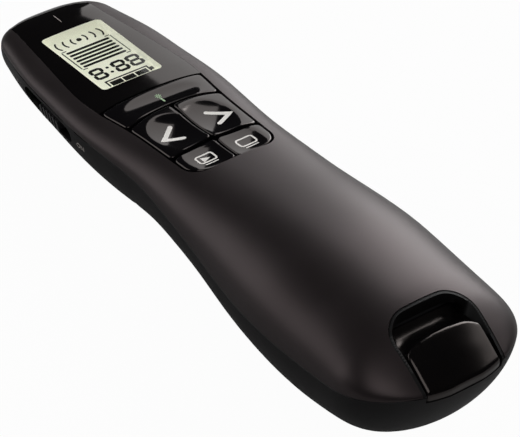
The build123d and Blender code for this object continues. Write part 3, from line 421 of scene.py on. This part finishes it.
def arc(cx, cy, radius, first, last, wide):
    """A line bent round a centre, from one bearing to another."""
    turns = np.radians(np.linspace(first, last, ARC_POINTS))
    return stroke(np.stack([cx + radius * np.cos(turns), cy + radius * np.sin(turns)], 1), wide)


def disc(cx, cy, radius):
    turns = [2 * math.pi * k / DISC_POINTS for k in range(DISC_POINTS)]
    return [(cx + radius * math.cos(turn), cy + radius * math.sin(turn)) for turn in turns]


# ---- materials -------------------------------------------------------------------------------
GRAIN_DEPTH, MARK_DEPTH = 0.02, 0.01  # of moulded grain and of tool marks in metal
MARK_WIDTH = 0.3  # of tool marks, coarser than real ones so that they show
WAVE_WIDTH = 14  # of the faint waves in clear acrylic
SLANT_POWER, LEAST_MIRROR = 5.0, 0.012  # how a clear window mirrors more as it is seen more flatly


def linear(hex_colour):
    """An sRGB hex colour as linear values."""
    parts = [int(hex_colour[k:k + 2], 16) / 255 for k in (1, 3, 5)]
    parts = [part / 12.92 if part <= 0.04045 else ((part + 0.055) / 1.055) ** 2.4 for part in parts]
    return (*parts, 1.0)


def add_node(tree, kind, settings=None, links=None, **inputs):
    """Adds a node, sets its options and input values, and links inputs to other nodes' outputs."""
    node = tree.nodes.new(kind)
    for name, value in (settings or {}).items():
        setattr(node, name, value)
    for name, value in inputs.items():
        node.inputs[name.replace("_", " ")].default_value = value
    for socket, source in (links or {}).items():
        tree.links.new(source, node.inputs[socket])
    return node


def new_material(name):
    """An empty material and its node tree."""
    material = bpy.data.materials.new(name)
    material.use_nodes = True
    material.node_tree.nodes.clear()
    return material, material.node_tree


def plastic(name, dark, light, rough, rough_spread, grain, bump, patch=9.0, ior=1.5, coat=0.0, specular=0.5,
            tint="#ffffff", glow="#000000", glow_strength=0.0):
    """Moulded plastic: slow drift of tone over patch mm, and a moulded grain of grain mm."""
    material, tree = new_material(name)
    where = add_node(tree, "ShaderNodeTexCoord").outputs["Object"]
    drift = add_node(tree, "ShaderNodeTexNoise", links={"Vector": where},
                     Scale=1 / (patch * MM), Detail=3.0)
    fine = add_node(tree, "ShaderNodeTexNoise", links={"Vector": where},
                    Scale=1 / (grain * MM), Detail=2.0)
    tone = add_node(tree, "ShaderNodeMixRGB", links={"Fac": drift.outputs["Fac"]},
                    Color1=linear(dark), Color2=linear(light))
    gloss = add_node(tree, "ShaderNodeMapRange", links={"Value": drift.outputs["Fac"]},
                     From_Min=0.3, From_Max=0.7, To_Min=rough - rough_spread, To_Max=rough + rough_spread)
    relief = add_node(tree, "ShaderNodeBump", links={"Height": fine.outputs["Fac"]},
                      Strength=bump, Distance=GRAIN_DEPTH * MM)
    shader = add_node(tree, "ShaderNodeBsdfPrincipled", links={
        "Base Color": tone.outputs["Color"], "Roughness": gloss.outputs["Result"],
        "Normal": relief.outputs["Normal"]},
        IOR=ior, Specular_Tint=linear(tint), Specular_IOR_Level=specular,
        Coat_Weight=coat, Coat_Roughness=0.05, Emission_Color=linear(glow), Emission_Strength=glow_strength)
    add_node(tree, "ShaderNodeOutputMaterial", links={"Surface": shader.outputs["BSDF"]})
    return material


def metal(name, dark, light, rough, stretch=(1, 1, 1)):
    """Plated or turned metal with fine marks stretched the way it was worked."""
    material, tree = new_material(name)
    where = add_node(tree, "ShaderNodeTexCoord").outputs["Object"]
    turned = add_node(tree, "ShaderNodeMapping", links={"Vector": where}, Scale=stretch)
    marks = add_node(tree, "ShaderNodeTexNoise", links={"Vector": turned.outputs["Vector"]},
                     Scale=1 / (MARK_WIDTH * MM), Detail=2.0)
    tone = add_node(tree, "ShaderNodeMixRGB", links={"Fac": marks.outputs["Fac"]},
                    Color1=linear(dark), Color2=linear(light))
    gloss = add_node(tree, "ShaderNodeMapRange", links={"Value": marks.outputs["Fac"]},
                     To_Min=rough * 0.7, To_Max=rough * 1.3)
    relief = add_node(tree, "ShaderNodeBump", links={"Height": marks.outputs["Fac"]},
                      Strength=0.15, Distance=MARK_DEPTH * MM)
    shader = add_node(tree, "ShaderNodeBsdfPrincipled", links={
        "Base Color": tone.outputs["Color"], "Roughness": gloss.outputs["Result"],
        "Normal": relief.outputs["Normal"]}, Metallic=1.0)
    add_node(tree, "ShaderNodeOutputMaterial", links={"Surface": shader.outputs["BSDF"]})
    return material


def clear_acrylic(name):
    """A clear window with an anti-glare coat: only a slant view mirrors the lamps."""
    material, tree = new_material(name)
    where = add_node(tree, "ShaderNodeTexCoord").outputs["Object"]
    waves = add_node(tree, "ShaderNodeTexNoise", links={"Vector": where},
                     Scale=1 / (WAVE_WIDTH * MM), Detail=1.0)
    tone = add_node(tree, "ShaderNodeMixRGB", links={"Fac": waves.outputs["Fac"]},
                    Color1=linear("#fafaf7"), Color2=linear("#fefefc"))
    slant = add_node(tree, "ShaderNodeLayerWeight", Blend=0.5)
    steep = add_node(tree, "ShaderNodeMath", {"operation": "POWER"}, {0: slant.outputs["Facing"]})
    steep.inputs[1].default_value = SLANT_POWER
    share = add_node(tree, "ShaderNodeMapRange", links={"Value": steep.outputs["Value"]},
                     To_Min=LEAST_MIRROR)
    clear = add_node(tree, "ShaderNodeBsdfTransparent", links={"Color": tone.outputs["Color"]})
    mirror = add_node(tree, "ShaderNodeBsdfGlossy", Roughness=0.03)
    mixed = add_node(tree, "ShaderNodeMixShader", links={
        "Fac": share.outputs["Result"], 1: clear.outputs["BSDF"], 2: mirror.outputs["BSDF"]})
    add_node(tree, "ShaderNodeOutputMaterial", links={"Surface": mixed.outputs["Shader"]})
    return material


# Polycarbonate-ABS with a sprayed soft-touch lacquer: warm graphite, satin, with a very fine nap.
soft_touch = plastic("soft_touch_lacquer", "#161314", "#1b1718", 0.40, 0.015, 0.35, 0.12, tint="#ffe9ea")
# The lower half is bare ABS, spark-eroded to a fine matt grain, so it is blacker and drier.
grained_abs = plastic("spark_grained_abs", "#0e0c0d", "#121011", 0.5, 0.03, 0.45, 0.3, specular=0.22)
# Piano-black ABS polished in the mould: near-black, mirror-like, with faint polishing waves.
piano_black = plastic("piano_black_abs", "#070607", "#0b0a0b", 0.06, 0.015, 2.5, 0.03, ior=1.53,
                      tint="#fff0ea")
# The receiver's grip has lost its mirror polish to fingers, so what it reflects is soft.
grip_black = plastic("handled_grip_abs", "#070607", "#0b0a0b", 0.17, 0.02, 2.5, 0.03, ior=1.53,
                     tint="#fff0ea")
# The bay round the receiver is the same resin, left satin as it came from the mould.
bay_black = plastic("satin_bay_abs", "#090809", "#0d0c0d", 0.5, 0.03, 0.5, 0.2, specular=0.25)
# The keys are piano black too, under a hard clear lacquer.
key_black = plastic("lacquered_key_abs", "#08070a", "#0d0c0e", 0.07, 0.015, 2.0, 0.03, ior=1.55,
                    tint="#fff0ea")
# Silk-screen inks: warm white on the keys, dark grey liquid crystal, pale green for the laser mark.
white_ink = plastic("warm_white_ink", "#f6f2ec", "#fdfaf6", 0.45, 0.05, 0.3, 0.2)
faint_ink = plastic("thin_grey_ink", "#a39c97", "#b0a9a3", 0.45, 0.05, 0.3, 0.2)
green_ink = plastic("pale_green_ink", "#a3c39a", "#b4d2aa", 0.45, 0.05, 0.3, 0.2)
crystal_ink = plastic("dark_liquid_crystal", "#060705", "#0b0c09", 0.35, 0.05, 0.3, 0.05, specular=0.05)
# A twisted-nematic display's rear film: pale grey-green, slightly silky, with a faint painted glow so that
# it reads brighter than the lamps alone make it.
reflector = plastic("reflector_film_with_painted_glow", "#e5e6d9", "#edeee2", 0.42, 0.05, 0.6, 0.12, patch=12,
                    glow="#e6e8da", glow_strength=0.35)
# The window over the display is clear acrylic, and so are the laser's lens and window.
acrylic = clear_acrylic("hard_coated_acrylic")
# The side keys and the slide are ABS left satin, so they catch a broad soft light. The slide's flag
# is the same in green.
satin_black = plastic("satin_black_abs", "#1a191b", "#222123", 0.36, 0.05, 0.5, 0.3)
flag_green = plastic("green_flag_abs", "#3d8a35", "#4a9a40", 0.35, 0.05, 0.5, 0.2)
# Inside, glass-filled nylon, acetal and layered rubber are dull, the boards' lacquer and the cells'
# printed foil shine a little.
inner_black = plastic("inner_glass_filled_nylon", "#1c1c1e", "#262628", 0.55, 0.06, 0.5, 0.5)
white_plastic = plastic("white_acetal", "#cfcdc4", "#dad8d0", 0.4, 0.05, 0.6, 0.2)
solder_mask = plastic("green_solder_mask", "#0d3b22", "#14492c", 0.3, 0.06, 0.8, 0.3)
zebra = plastic("zebra_rubber", "#2f2f33", "#6b6b70", 0.6, 0.05, 0.25, 0.2)
battery_foil = plastic("battery_foil_sleeve", "#55575c", "#64666b", 0.25, 0.05, 1.5, 0.1, coat=0.3)
# Plated steel is bright and even, a plated screw duller, turned brass warm and finely ringed, and the
# plug's stamped steel the brightest.
nickel = metal("nickel_plated_steel", "#a7a7a4", "#bcbcb8", 0.28)
zinc_screw = metal("zinc_plated_screw", "#8e8f90", "#a4a5a6", 0.35, (1, 1, 0.2))
turned_brass = metal("turned_brass", "#b08d4f", "#c6a468", 0.25, (0.3, 4, 4))
plug_steel = metal("stamped_plug_steel", "#b4b5b5", "#cacaca", 0.2, (1, 0.15, 1))


def row_of(mesh, count, step, material):
    """Copies of a mesh set out in a row by Geometry Nodes, as one plain mesh."""
    tree = bpy.data.node_groups.new("row_of_copies", "GeometryNodeTree")
    tree.interface.new_socket("Geometry", in_out="INPUT", socket_type="NodeSocketGeometry")
    count_input = tree.interface.new_socket("Count", in_out="INPUT", socket_type="NodeSocketInt")
    step_input = tree.interface.new_socket("Step", in_out="INPUT", socket_type="NodeSocketVector")
    tree.interface.new_socket("Geometry", in_out="OUTPUT", socket_type="NodeSocketGeometry")
    given = add_node(tree, "NodeGroupInput")
    line = add_node(tree, "GeometryNodeMeshLine", {"mode": "OFFSET"},
                    {"Count": given.outputs["Count"], "Offset": given.outputs["Step"]})
    copies = add_node(tree, "GeometryNodeInstanceOnPoints",
                      links={"Points": line.outputs["Mesh"], "Instance": given.outputs["Geometry"]})
    real = add_node(tree, "GeometryNodeRealizeInstances", links={"Geometry": copies.outputs["Instances"]})
    dressed = add_node(tree, "GeometryNodeSetMaterial", links={"Geometry": real.outputs["Geometry"]},
                       Material=material)
    add_node(tree, "NodeGroupOutput", links={"Geometry": dressed.outputs["Geometry"]})
    source = bpy.data.objects.new("row", mesh)
    bpy.context.collection.objects.link(source)
    modifier = source.modifiers.new("row", "NODES")
    modifier.node_group = tree
    modifier[count_input.identifier] = count
    modifier[step_input.identifier] = [value * MM for value in step]
    row = bpy.data.meshes.new_from_object(source.evaluated_get(bpy.context.evaluated_depsgraph_get()))
    bpy.data.objects.remove(source)
    return row


# ---- the case --------------------------------------------------------------------------------
moulded_case("top_shell", "housing", soft_touch)
moulded_case("bottom_shell", "housing", grained_abs)
moulded_case("display_panel", "housing", piano_black)
moulded_case("battery_door", "door", grained_abs)
moulded_case("display_window", "housing", acrylic)

# ---- keys ------------------------------------------------------------------------------------
# The middle of each deck key, in deck coordinates.
KEYS = {
    "laser": (0.0, 25.4),
    "back": (-5.5, 14.6),
    "next": (5.5, 14.6),
    "slideshow": (-5.2, 4.8),
    "blank": (5.2, 4.8),
}
# The keys' dishes: radius, depth, the laser bar's depth, and how softly they run out.
DISH_RADIUS, DISH_DEEP, BAR_DISH_DEEP, DISH_EASE = 30.0, 0.65, 0.35, 0.06
DISH_LEAN = {"next": 0.05, "blank": 0.04}  # slope of the right-hand keys' dishes, against the crown's fall
KEY_FOOT, KEY_EDGE = -2.9, 0.28  # foot of the caps, from the deck plane, and edge radius
OUTLINE_DEPTH = 2.0  # how far under the deck plane the keys' outlines are taken
DECK_AXES = ((1, 0, 0), (0, math.cos(DECK_SLOPE), -math.sin(DECK_SLOPE)))


def key_top(name):
    """Height of a key's dished face over the deck plane."""
    cx, cv = KEYS[name]
    face = float(deck_skin(np.array([cx]), np.array([cv]))[0])

    def top(x, v):
        skin = deck_skin(x, v)
        if name == "laser":
            radius, deep, reach = DISH_RADIUS / 2, BAR_DISH_DEEP, np.abs(v - cv)
        else:
            radius, deep, reach = DISH_RADIUS, DISH_DEEP, np.hypot(x - cx, v - cv)
        dish = face + radius - deep - np.sqrt(np.maximum(radius**2 - reach**2, 0))
        dish += DISH_LEAN.get(name, 0.0) * (x - cx)
        return (skin + dish - np.sqrt((skin - dish) ** 2 + DISH_EASE**2)) / 2 + DISH_EASE / 2

    return top


def key_cap(name):
    """A deck key's cap, over the outline of its CAD node."""
    under = (0, -OUTLINE_DEPTH * math.sin(DECK_SLOPE), DECK_RISE - OUTLINE_DEPTH * math.cos(DECK_SLOPE))
    loop = even_loop(slice_loop(f"{name}_key", under, DECK_AXES))
    mesh = moulded_cap(loop, key_top(name), KEY_FOOT, on_deck, KEY_EDGE)
    finish_piece(f"{name}_key_cap", mesh, f"{name}_button", key_black, f"{name}_key")


for name in KEYS:
    key_cap(name)

# ---- figures printed on the keys and the panel -------------------------------------------------
CHEVRON_ROOT, CHEVRON_TIP, CHEVRON_LINE = 4.1, 7.45, 0.9
CHEVRON_LEVELS = (16.85, 14.0, 12.5)  # of its far end, its tip and its near end
SCREEN_HALF, SCREEN_LOW, SCREEN_HIGH, SCREEN_CORNER, SCREEN_LINE = 1.8, 3.55, 5.85, 0.55, 0.36
BURST_MIDDLE, BURST_RAY, BURST_LINE = np.array([0.16, 26.6]), (0.22, 0.6), 0.16


def chevron(side):
    """An arrow head that points to one side."""
    far, middle, near = CHEVRON_LEVELS
    root, tip = side * CHEVRON_ROOT, side * CHEVRON_TIP
    return stroke([(root, far), (tip, middle), (root, near)], CHEVRON_LINE)


def screen_mark(centre):
    """A screen with a line under it."""
    left, right = centre - SCREEN_HALF, centre + SCREEN_HALF
    return [*ring(left, right, SCREEN_LOW, SCREEN_HIGH, SCREEN_CORNER, SCREEN_LINE),
            bar(centre - 1.4, centre + 1.5, 2.72, 2.98, 0.1)]


def laser_burst():
    """A beam and the eight short rays at its end."""
    rays = [bar(-0.02, 0.34, 24.4, 26.0, 0.1)]
    for turn in range(0, 360, 45):
        way = np.array([math.cos(math.radians(turn)), math.sin(math.radians(turn))])
        rays.append(stroke([BURST_MIDDLE + way * reach for reach in BURST_RAY], BURST_LINE))
    return rays


for name, side in (("back", -1), ("next", 1)):
    mesh = inlay_mesh([chevron(side)], key_top(name), on_deck)
    finish_piece(f"{name}_chevron", mesh, f"{name}_button", white_ink)

play_mark = [(-5.7, 3.8), (-3.9, 4.55), (-5.7, 5.3)]
for name, centre, extra in (("slideshow", -4.75, [play_mark]), ("blank", 4.4, [])):
    mesh = inlay_mesh(screen_mark(centre) + extra, key_top(name), on_deck, even=0.1)
    finish_piece(f"{name}_screen_mark", mesh, f"{name}_button", white_ink)

mesh = inlay_mesh(laser_burst(), key_top("laser"), on_deck, spacing=0.4, even=0.08)
finish_piece("laser_burst_mark", mesh, "laser_button", green_ink)

mesh = inlay_mesh([bar(0.06, 0.2, 59.1, 62.0, 0.06)], deck_skin, on_deck, even=0.08)
finish_piece("aim_mark", mesh, "housing", faint_ink)

# ---- display ---------------------------------------------------------------------------------
CELL_TOP = -2.05  # the display's face, under the deck plane
FIGURE_SHIFT = (1.45, 2.2)  # to the right and forwards
SIGNAL_LEVEL, SIGNAL_TURN, SIGNAL_LINE = 52.2, 36, 0.36
ARC_REACH, ARC_RADIUS = 1.55, 1.7  # shares of an arc's half height
# A digit's middle, width, height, line and the gap between its bars.
DIGIT_LEVEL, DIGIT_WIDE, DIGIT_TALL, DIGIT_LINE, DIGIT_GAP = 39.55, 2.95, 4.0, 0.7, 0.05
BAR_COUNT, BAR_STEP = 6, 1.17
CHARGE_COUNT, CHARGE_STEP = 3, 2.9
SURROUND_HALF, SURROUND_NEAR, SURROUND_FAR, SURROUND_CORNER = 6.9, 34.3, 56.1, 1.0
SURROUND_WALL, SURROUND_SINK = 0.035, 0.06  # its thickness, and its gap under the window's face


def cell_face(x, v):
    """Depth of the display's level face."""
    return np.full(len(x), CELL_TOP)


def on_cell(x, v, depth):
    """The display's figures, moved over as their layer lies under the window."""
    return on_deck(x + FIGURE_SHIFT[0], v + FIGURE_SHIFT[1], depth)


def crystal_plates(outlines):
    """Figures of dark crystal on the display's face."""
    return inlay_mesh(outlines, cell_face, on_cell, lift=0.03, sink=0.0, spacing=0.8)


def seven_segments(cx):
    """The seven bars of one digit, all on."""
    line = DIGIT_LINE
    x0, x1 = cx - DIGIT_WIDE / 2, cx + DIGIT_WIDE / 2
    y0, y1 = DIGIT_LEVEL - DIGIT_TALL / 2, DIGIT_LEVEL + DIGIT_TALL / 2
    tip, shoulder = DIGIT_GAP + line * 0.35, DIGIT_GAP + line * 0.8
    parts = []
    for y in (y0, DIGIT_LEVEL - line / 2, y1 - line):
        parts.append([(x0 + tip, y + line / 2), (x0 + shoulder, y), (x1 - shoulder, y),
                      (x1 - tip, y + line / 2), (x1 - shoulder, y + line), (x0 + shoulder, y + line)])
    for x in (x0, x1 - line):
        for foot, head in ((y0, DIGIT_LEVEL), (DIGIT_LEVEL, y1)):
            low, high = foot + DIGIT_GAP, head - DIGIT_GAP
            parts.append([(x, low + line * 0.6), (x + line / 2, low + line * 0.2),
                          (x + line, low + line * 0.7), (x + line, high - line * 0.7),
                          (x + line / 2, high - line * 0.2), (x, high - line * 0.6)])
    return parts


def signal_marks():
    """Three arcs to each side of a dot."""
    marks = []
    for x, half in ((-5.5, 1.3), (-3.8, 1.12), (-2.05, 0.95)):
        marks.append(arc(x + half * ARC_REACH, SIGNAL_LEVEL, half * ARC_RADIUS,
                         180 - SIGNAL_TURN, 180 + SIGNAL_TURN, SIGNAL_LINE))
    for x, half in ((1.0, 0.95), (2.8, 1.12), (4.6, 1.3)):
        marks.append(arc(x - half * ARC_REACH, SIGNAL_LEVEL, half * ARC_RADIUS,
                         -SIGNAL_TURN, SIGNAL_TURN, SIGNAL_LINE))
    return [*marks, disc(-0.5, SIGNAL_LEVEL, 0.55)]


def timer_frame():
    """The two side lines round the timer bars, with a short hook at each end."""
    lines = [bar(-6.15, -5.93, 42.9, 49.9), bar(5.1, 5.32, 42.9, 49.9)]
    for x0, x1 in ((-6.0, -4.9), (4.1, 5.15)):
        lines += [bar(x0, x1, 50.0, 50.2), bar(x0, x1, 42.5, 42.7)]
    return lines


def counter():
    """Three digits and a colon."""
    marks = []
    for x in (-4.47, 0.5, 3.87):
        marks += seven_segments(x)
    return [*marks, disc(-1.95, 40.45, 0.34), disc(-1.95, 38.65, 0.34)]


def battery_outline():
    """A battery on its side, with its pole to the right."""
    return [bar(-5.3, 4.5, 36.2, 36.55), bar(-5.3, -4.95, 34.5, 36.2), bar(4.15, 4.5, 34.5, 36.2),
            bar(4.5, 5.2, 34.7, 35.7)]


def display_row(name, first, count, step):
    """Equal marks of the display, set out in a row from the first."""
    row = row_of(crystal_plates([first]), count, step, crystal_ink)
    finish_piece(name, row, "housing", crystal_ink)


def display_surround():
    """A thin closed wall from the display's face up to the window, printed pale like the window's edge."""
    edge = bar(-SURROUND_HALF, SURROUND_HALF, SURROUND_NEAR, SURROUND_FAR, SURROUND_CORNER)
    outer = even_loop(np.array(edge), 0.3, 0)
    inner = drawn_in(outer, SURROUND_WALL)
    count = len(outer)
    rows, faces = [], []
    for outline, sunk in ((outer, True), (outer, False), (inner, False), (inner, True)):
        height = CELL_TOP if sunk else deck_skin(*outline.T) - SURROUND_SINK
        rows.append(on_deck(*outline.T, np.broadcast_to(height, count)))
    for step in range(4):
        faces += ring_faces(step * count, (step + 1) % 4 * count, count)
    mesh = mesh_in_mm("surround", rows, faces)
    # The surround wears the display film, and with it the film's painted glow.
    finish_piece("display_surround", mesh, "housing", reflector)


mesh = crystal_plates(signal_marks() + timer_frame() + counter() + battery_outline())
finish_piece("display_figures", mesh, "housing", crystal_ink)
down_deck = (0, -BAR_STEP * math.cos(DECK_SLOPE), BAR_STEP * math.sin(DECK_SLOPE))
display_row("timer_bars", bar(-5.4, 4.5, 48.87, 49.53, 0.3), BAR_COUNT, down_deck)
display_row("charge_cells", bar(-4.6, -2.0, 34.4, 35.85), CHARGE_COUNT, (CHARGE_STEP, 0, 0))
display_surround()

# ---- receiver in the tail --------------------------------------------------------------------
# The grip's depth under the case's skin, foot, half width and edge radius.
CAP_SINK, CAP_LOW, CAP_HALF, CAP_EDGE = 0.15, 21.1, 8.15, 0.7
CAP_CUT = CAP_LOW + 0.4  # height at which the grip's outline is taken
SCOOP_RADIUS, SCOOP_PLACE, SCOOP_FLOOR, SCOOP_EASE = 3.4, -52.7, 25.2, 0.8
SCOOP_BOW = 2.2  # how far the scoop bends back at the sides of the grip
SCOOP_STEEP = 0.999  # share of the radius past which the scoop's wall no longer rises


def cap_top(x, y):
    """The receiver's grip: the case's own fall to the tail, with a bowed finger scoop cut across it."""
    fall = crown_height(x, y) - CAP_SINK
    bend = SCOOP_BOW * (np.abs(x) / CAP_HALF) ** 4
    ahead = y - SCOOP_PLACE
    across = np.clip(np.maximum(ahead, -ahead - bend) / SCOOP_RADIUS, 0, SCOOP_STEEP)
    scoop = SCOOP_FLOOR + SCOOP_RADIUS * (1 - np.sqrt(1 - across**2))
    return (fall + scoop - np.sqrt((fall - scoop) ** 2 + SCOOP_EASE**2)) / 2


loop = even_loop(slice_loop("receiver_cap", (0, 0, CAP_CUT), ((1, 0, 0), (0, 1, 0))), 0.25)
mesh = moulded_cap(loop, cap_top, CAP_LOW, upright, CAP_EDGE, spacing=0.4, edge_rings=8)
finish_piece("receiver_grip", mesh, "receiver", grip_black, "receiver_cap")
mesh = shaded_copy("receiver_bay", BAY_SHARP)
finish_piece("receiver_bay_moulded", mesh, "housing", bay_black, "receiver_bay")

# ---- carried-over CAD nodes ------------------------------------------------------------------
finishes = (
    # The display's face wears the film with its painted glow.
    (reflector, ("display_cell",)),
    (white_plastic, ("display_reflector", "display_holder", "switch_lever", "usb_tongue")),
    (zebra, ("zebra_strip",)),
    (inner_black, ("key_frame", "key_switches", "side_switches", "control_chip", "radio_chip",
                   "battery_tray", "receiver_housing")),
    (solder_mask, ("main_board", "side_board", "receiver_board")),
    (zinc_screw, ("board_screws", "case_screws")),
    (nickel, ("crystal", "slide_switch", "laser_diode", "battery_springs", "contact_plates",
              "motor_can", "motor_shaft", "motor_weight")),
    (satin_black, ("power_slider", "minus_key", "timer_key", "plus_key")),
    (flag_green, ("power_flag",)),
    (turned_brass, ("laser_barrel", "usb_contacts")),
    (acrylic, ("laser_lens", "laser_window")),
    (battery_foil, ("left_battery", "right_battery")),
    (grained_abs, ("door_latch",)),
    (plug_steel, ("usb_shell",)),
    (white_plastic, [f"{name}_plunger" for name in (*KEYS, "minus", "timer", "plus")]),
)
for material, nodes in finishes:
    for node in nodes:
        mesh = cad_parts[node].data
        mesh.materials.clear()
        mesh.materials.append(material)

# ---- ON and OFF beside the slide ---------------------------------------------------------------
PRINT_SIZE, PRINT_HALF, PRINT_LIFT = 1.6, 0.04, 0.005  # letter size, half thickness and lift
PRINT_DROP = 2.6  # under the parting line


def flank_print(words, centre_y, name):
    """Small lettering that follows the left flank, read with the front end to the left."""
    curve = bpy.data.curves.new(name, "FONT")
    curve.body = words
    curve.size = PRINT_SIZE
    curve.align_x = "CENTER"
    curve.align_y = "CENTER"
    curve.extrude = PRINT_HALF
    text = bpy.data.objects.new(name, curve)
    bpy.context.collection.objects.link(text)
    bpy.context.view_layer.update()
    mesh = bpy.data.meshes.new_from_object(text.evaluated_get(bpy.context.evaluated_depsgraph_get()))
    bpy.data.objects.remove(text)
    points = values_of(mesh.vertices, "co")
    y = centre_y - points[:, 0]
    half, _, down, part, _ = section(y)
    z = part - PRINT_DROP + points[:, 1]
    x = -half * np.sqrt(np.maximum(1 - ((part - z) / down) ** 2, 0))
    skin = upright(x, y, z)
    normals, _ = skin_normals(skin)
    placed = (skin + normals * (points[:, 2:] + PRINT_LIFT)) * MM
    mesh.vertices.foreach_set("co", placed.ravel())
    weld(mesh)
    finish_piece(name, mesh, "housing", faint_ink)


flank_print("OFF", 53.2, "off_print")
flank_print("ON", 27.6, "on_print")

# ---- studio ----------------------------------------------------------------------------------
# These sizes are in metres.
LAMP_AWAY = 0.9
FLOOR_HALF, FLOOR_DROP = 6.0, 2e-5
CAMERA_PLACE = (-0.249308, -0.286928, 0.360698)
CAMERA_RIGHT = Vector((0.797595, -0.596149, 0.091915))
CAMERA_UP = Vector((0.354575, 0.586648, 0.728094))
CAMERA_AHEAD = Vector((0.487974, 0.548134, -0.679287))
CAMERA_NEAR = 0.01
# The lens and the sensor are in millimetres.
CAMERA_LENS, CAMERA_SENSOR = 193.846, 36.0
SEEN_WHITE = 0.97  # how white the sweep is to the camera
WORLD_GLOW = 0.02


def softbox(name, bearing, height, half_wide, half_tall, glow):
    """A rectangular lamp facing the part; its place and half sizes are the angles that the part sees."""
    bearing, height = math.radians(bearing), math.radians(height)
    level = math.cos(height)
    way = Vector((level * math.cos(bearing), level * math.sin(bearing), math.sin(height)))
    wide, tall = (2 * LAMP_AWAY * math.tan(math.radians(half)) for half in (half_wide, half_tall))
    light = bpy.data.lights.new(name, "AREA")
    light.shape = "RECTANGLE"
    light.size, light.size_y, light.energy = wide, tall, glow * math.pi * wide * tall
    lamp = bpy.data.objects.new(name, light)
    lamp.location = way * LAMP_AWAY
    lamp.rotation_euler = (-way).to_track_quat("-Z", "Y").to_euler()
    bpy.context.collection.objects.link(lamp)


def sweep_paper():
    """Matt paper, white to the eye and mid grey to the part, as if black flags stood round it."""
    paper, tree = new_material("white_sweep_paper")
    matt = add_node(tree, "ShaderNodeBsdfPrincipled", Base_Color=linear("#c8c8c8"), Roughness=0.9,
                    Specular_IOR_Level=0.1)
    glow = add_node(tree, "ShaderNodeEmission", Strength=1.0)
    seen = add_node(tree, "ShaderNodeLightPath")
    share = add_node(tree, "ShaderNodeMath", {"operation": "MULTIPLY"}, {0: seen.outputs["Is Camera Ray"]})
    share.inputs[1].default_value = SEEN_WHITE
    blend = add_node(tree, "ShaderNodeMixShader", links={
        "Fac": share.outputs["Value"], 1: matt.outputs["BSDF"], 2: glow.outputs["Emission"]})
    add_node(tree, "ShaderNodeOutputMaterial", links={"Surface": blend.outputs["Shader"]})
    return paper


def sweep():
    """The floor, a hair under the part."""
    mesh = bpy.data.meshes.new("floor")
    ways = ((-1, -1), (1, -1), (1, 1), (-1, 1))
    corners = [(x * FLOOR_HALF, y * FLOOR_HALF, -FLOOR_DROP) for x, y in ways]
    mesh.from_pydata(corners, [], [(0, 1, 2, 3)])
    mesh.materials.append(sweep_paper())
    floor = bpy.data.objects.new("floor", mesh)
    bpy.context.collection.objects.link(floor)


def dim_world():
    world = bpy.data.worlds.new("studio")
    bpy.context.scene.world = world
    world.use_nodes = True
    backdrop = world.node_tree.nodes["Background"]
    backdrop.inputs["Color"].default_value = (1, 1, 1, 1)
    backdrop.inputs["Strength"].default_value = WORLD_GLOW


def stand_camera():
    data = bpy.data.cameras.new("camera")
    data.sensor_width = CAMERA_SENSOR
    data.sensor_fit = "HORIZONTAL"
    data.lens = CAMERA_LENS
    data.clip_start = CAMERA_NEAR
    camera = bpy.data.objects.new("camera", data)
    bpy.context.collection.objects.link(camera)
    turn = Matrix((CAMERA_RIGHT, CAMERA_UP, -CAMERA_AHEAD)).transposed().to_4x4()
    camera.matrix_world = Matrix.Translation(CAMERA_PLACE) @ turn
    bpy.context.scene.camera = camera


# bearing, height, half width and half height in degrees, and glow
softbox("key_core", 28, 29, 15, 24, 3.6)
softbox("key_skirt", 30, 24, 26, 20, 1.3)
softbox("side_box", -13, 32, 13, 13, 1.3)
softbox("rear_box", 131, 20, 28, 19, 1.5)
softbox("camera_fill", -132, 52, 18, 18, 1.6)
sweep()
dim_world()
stand_camera()
bpy.context.scene.view_settings.view_transform = "Standard"
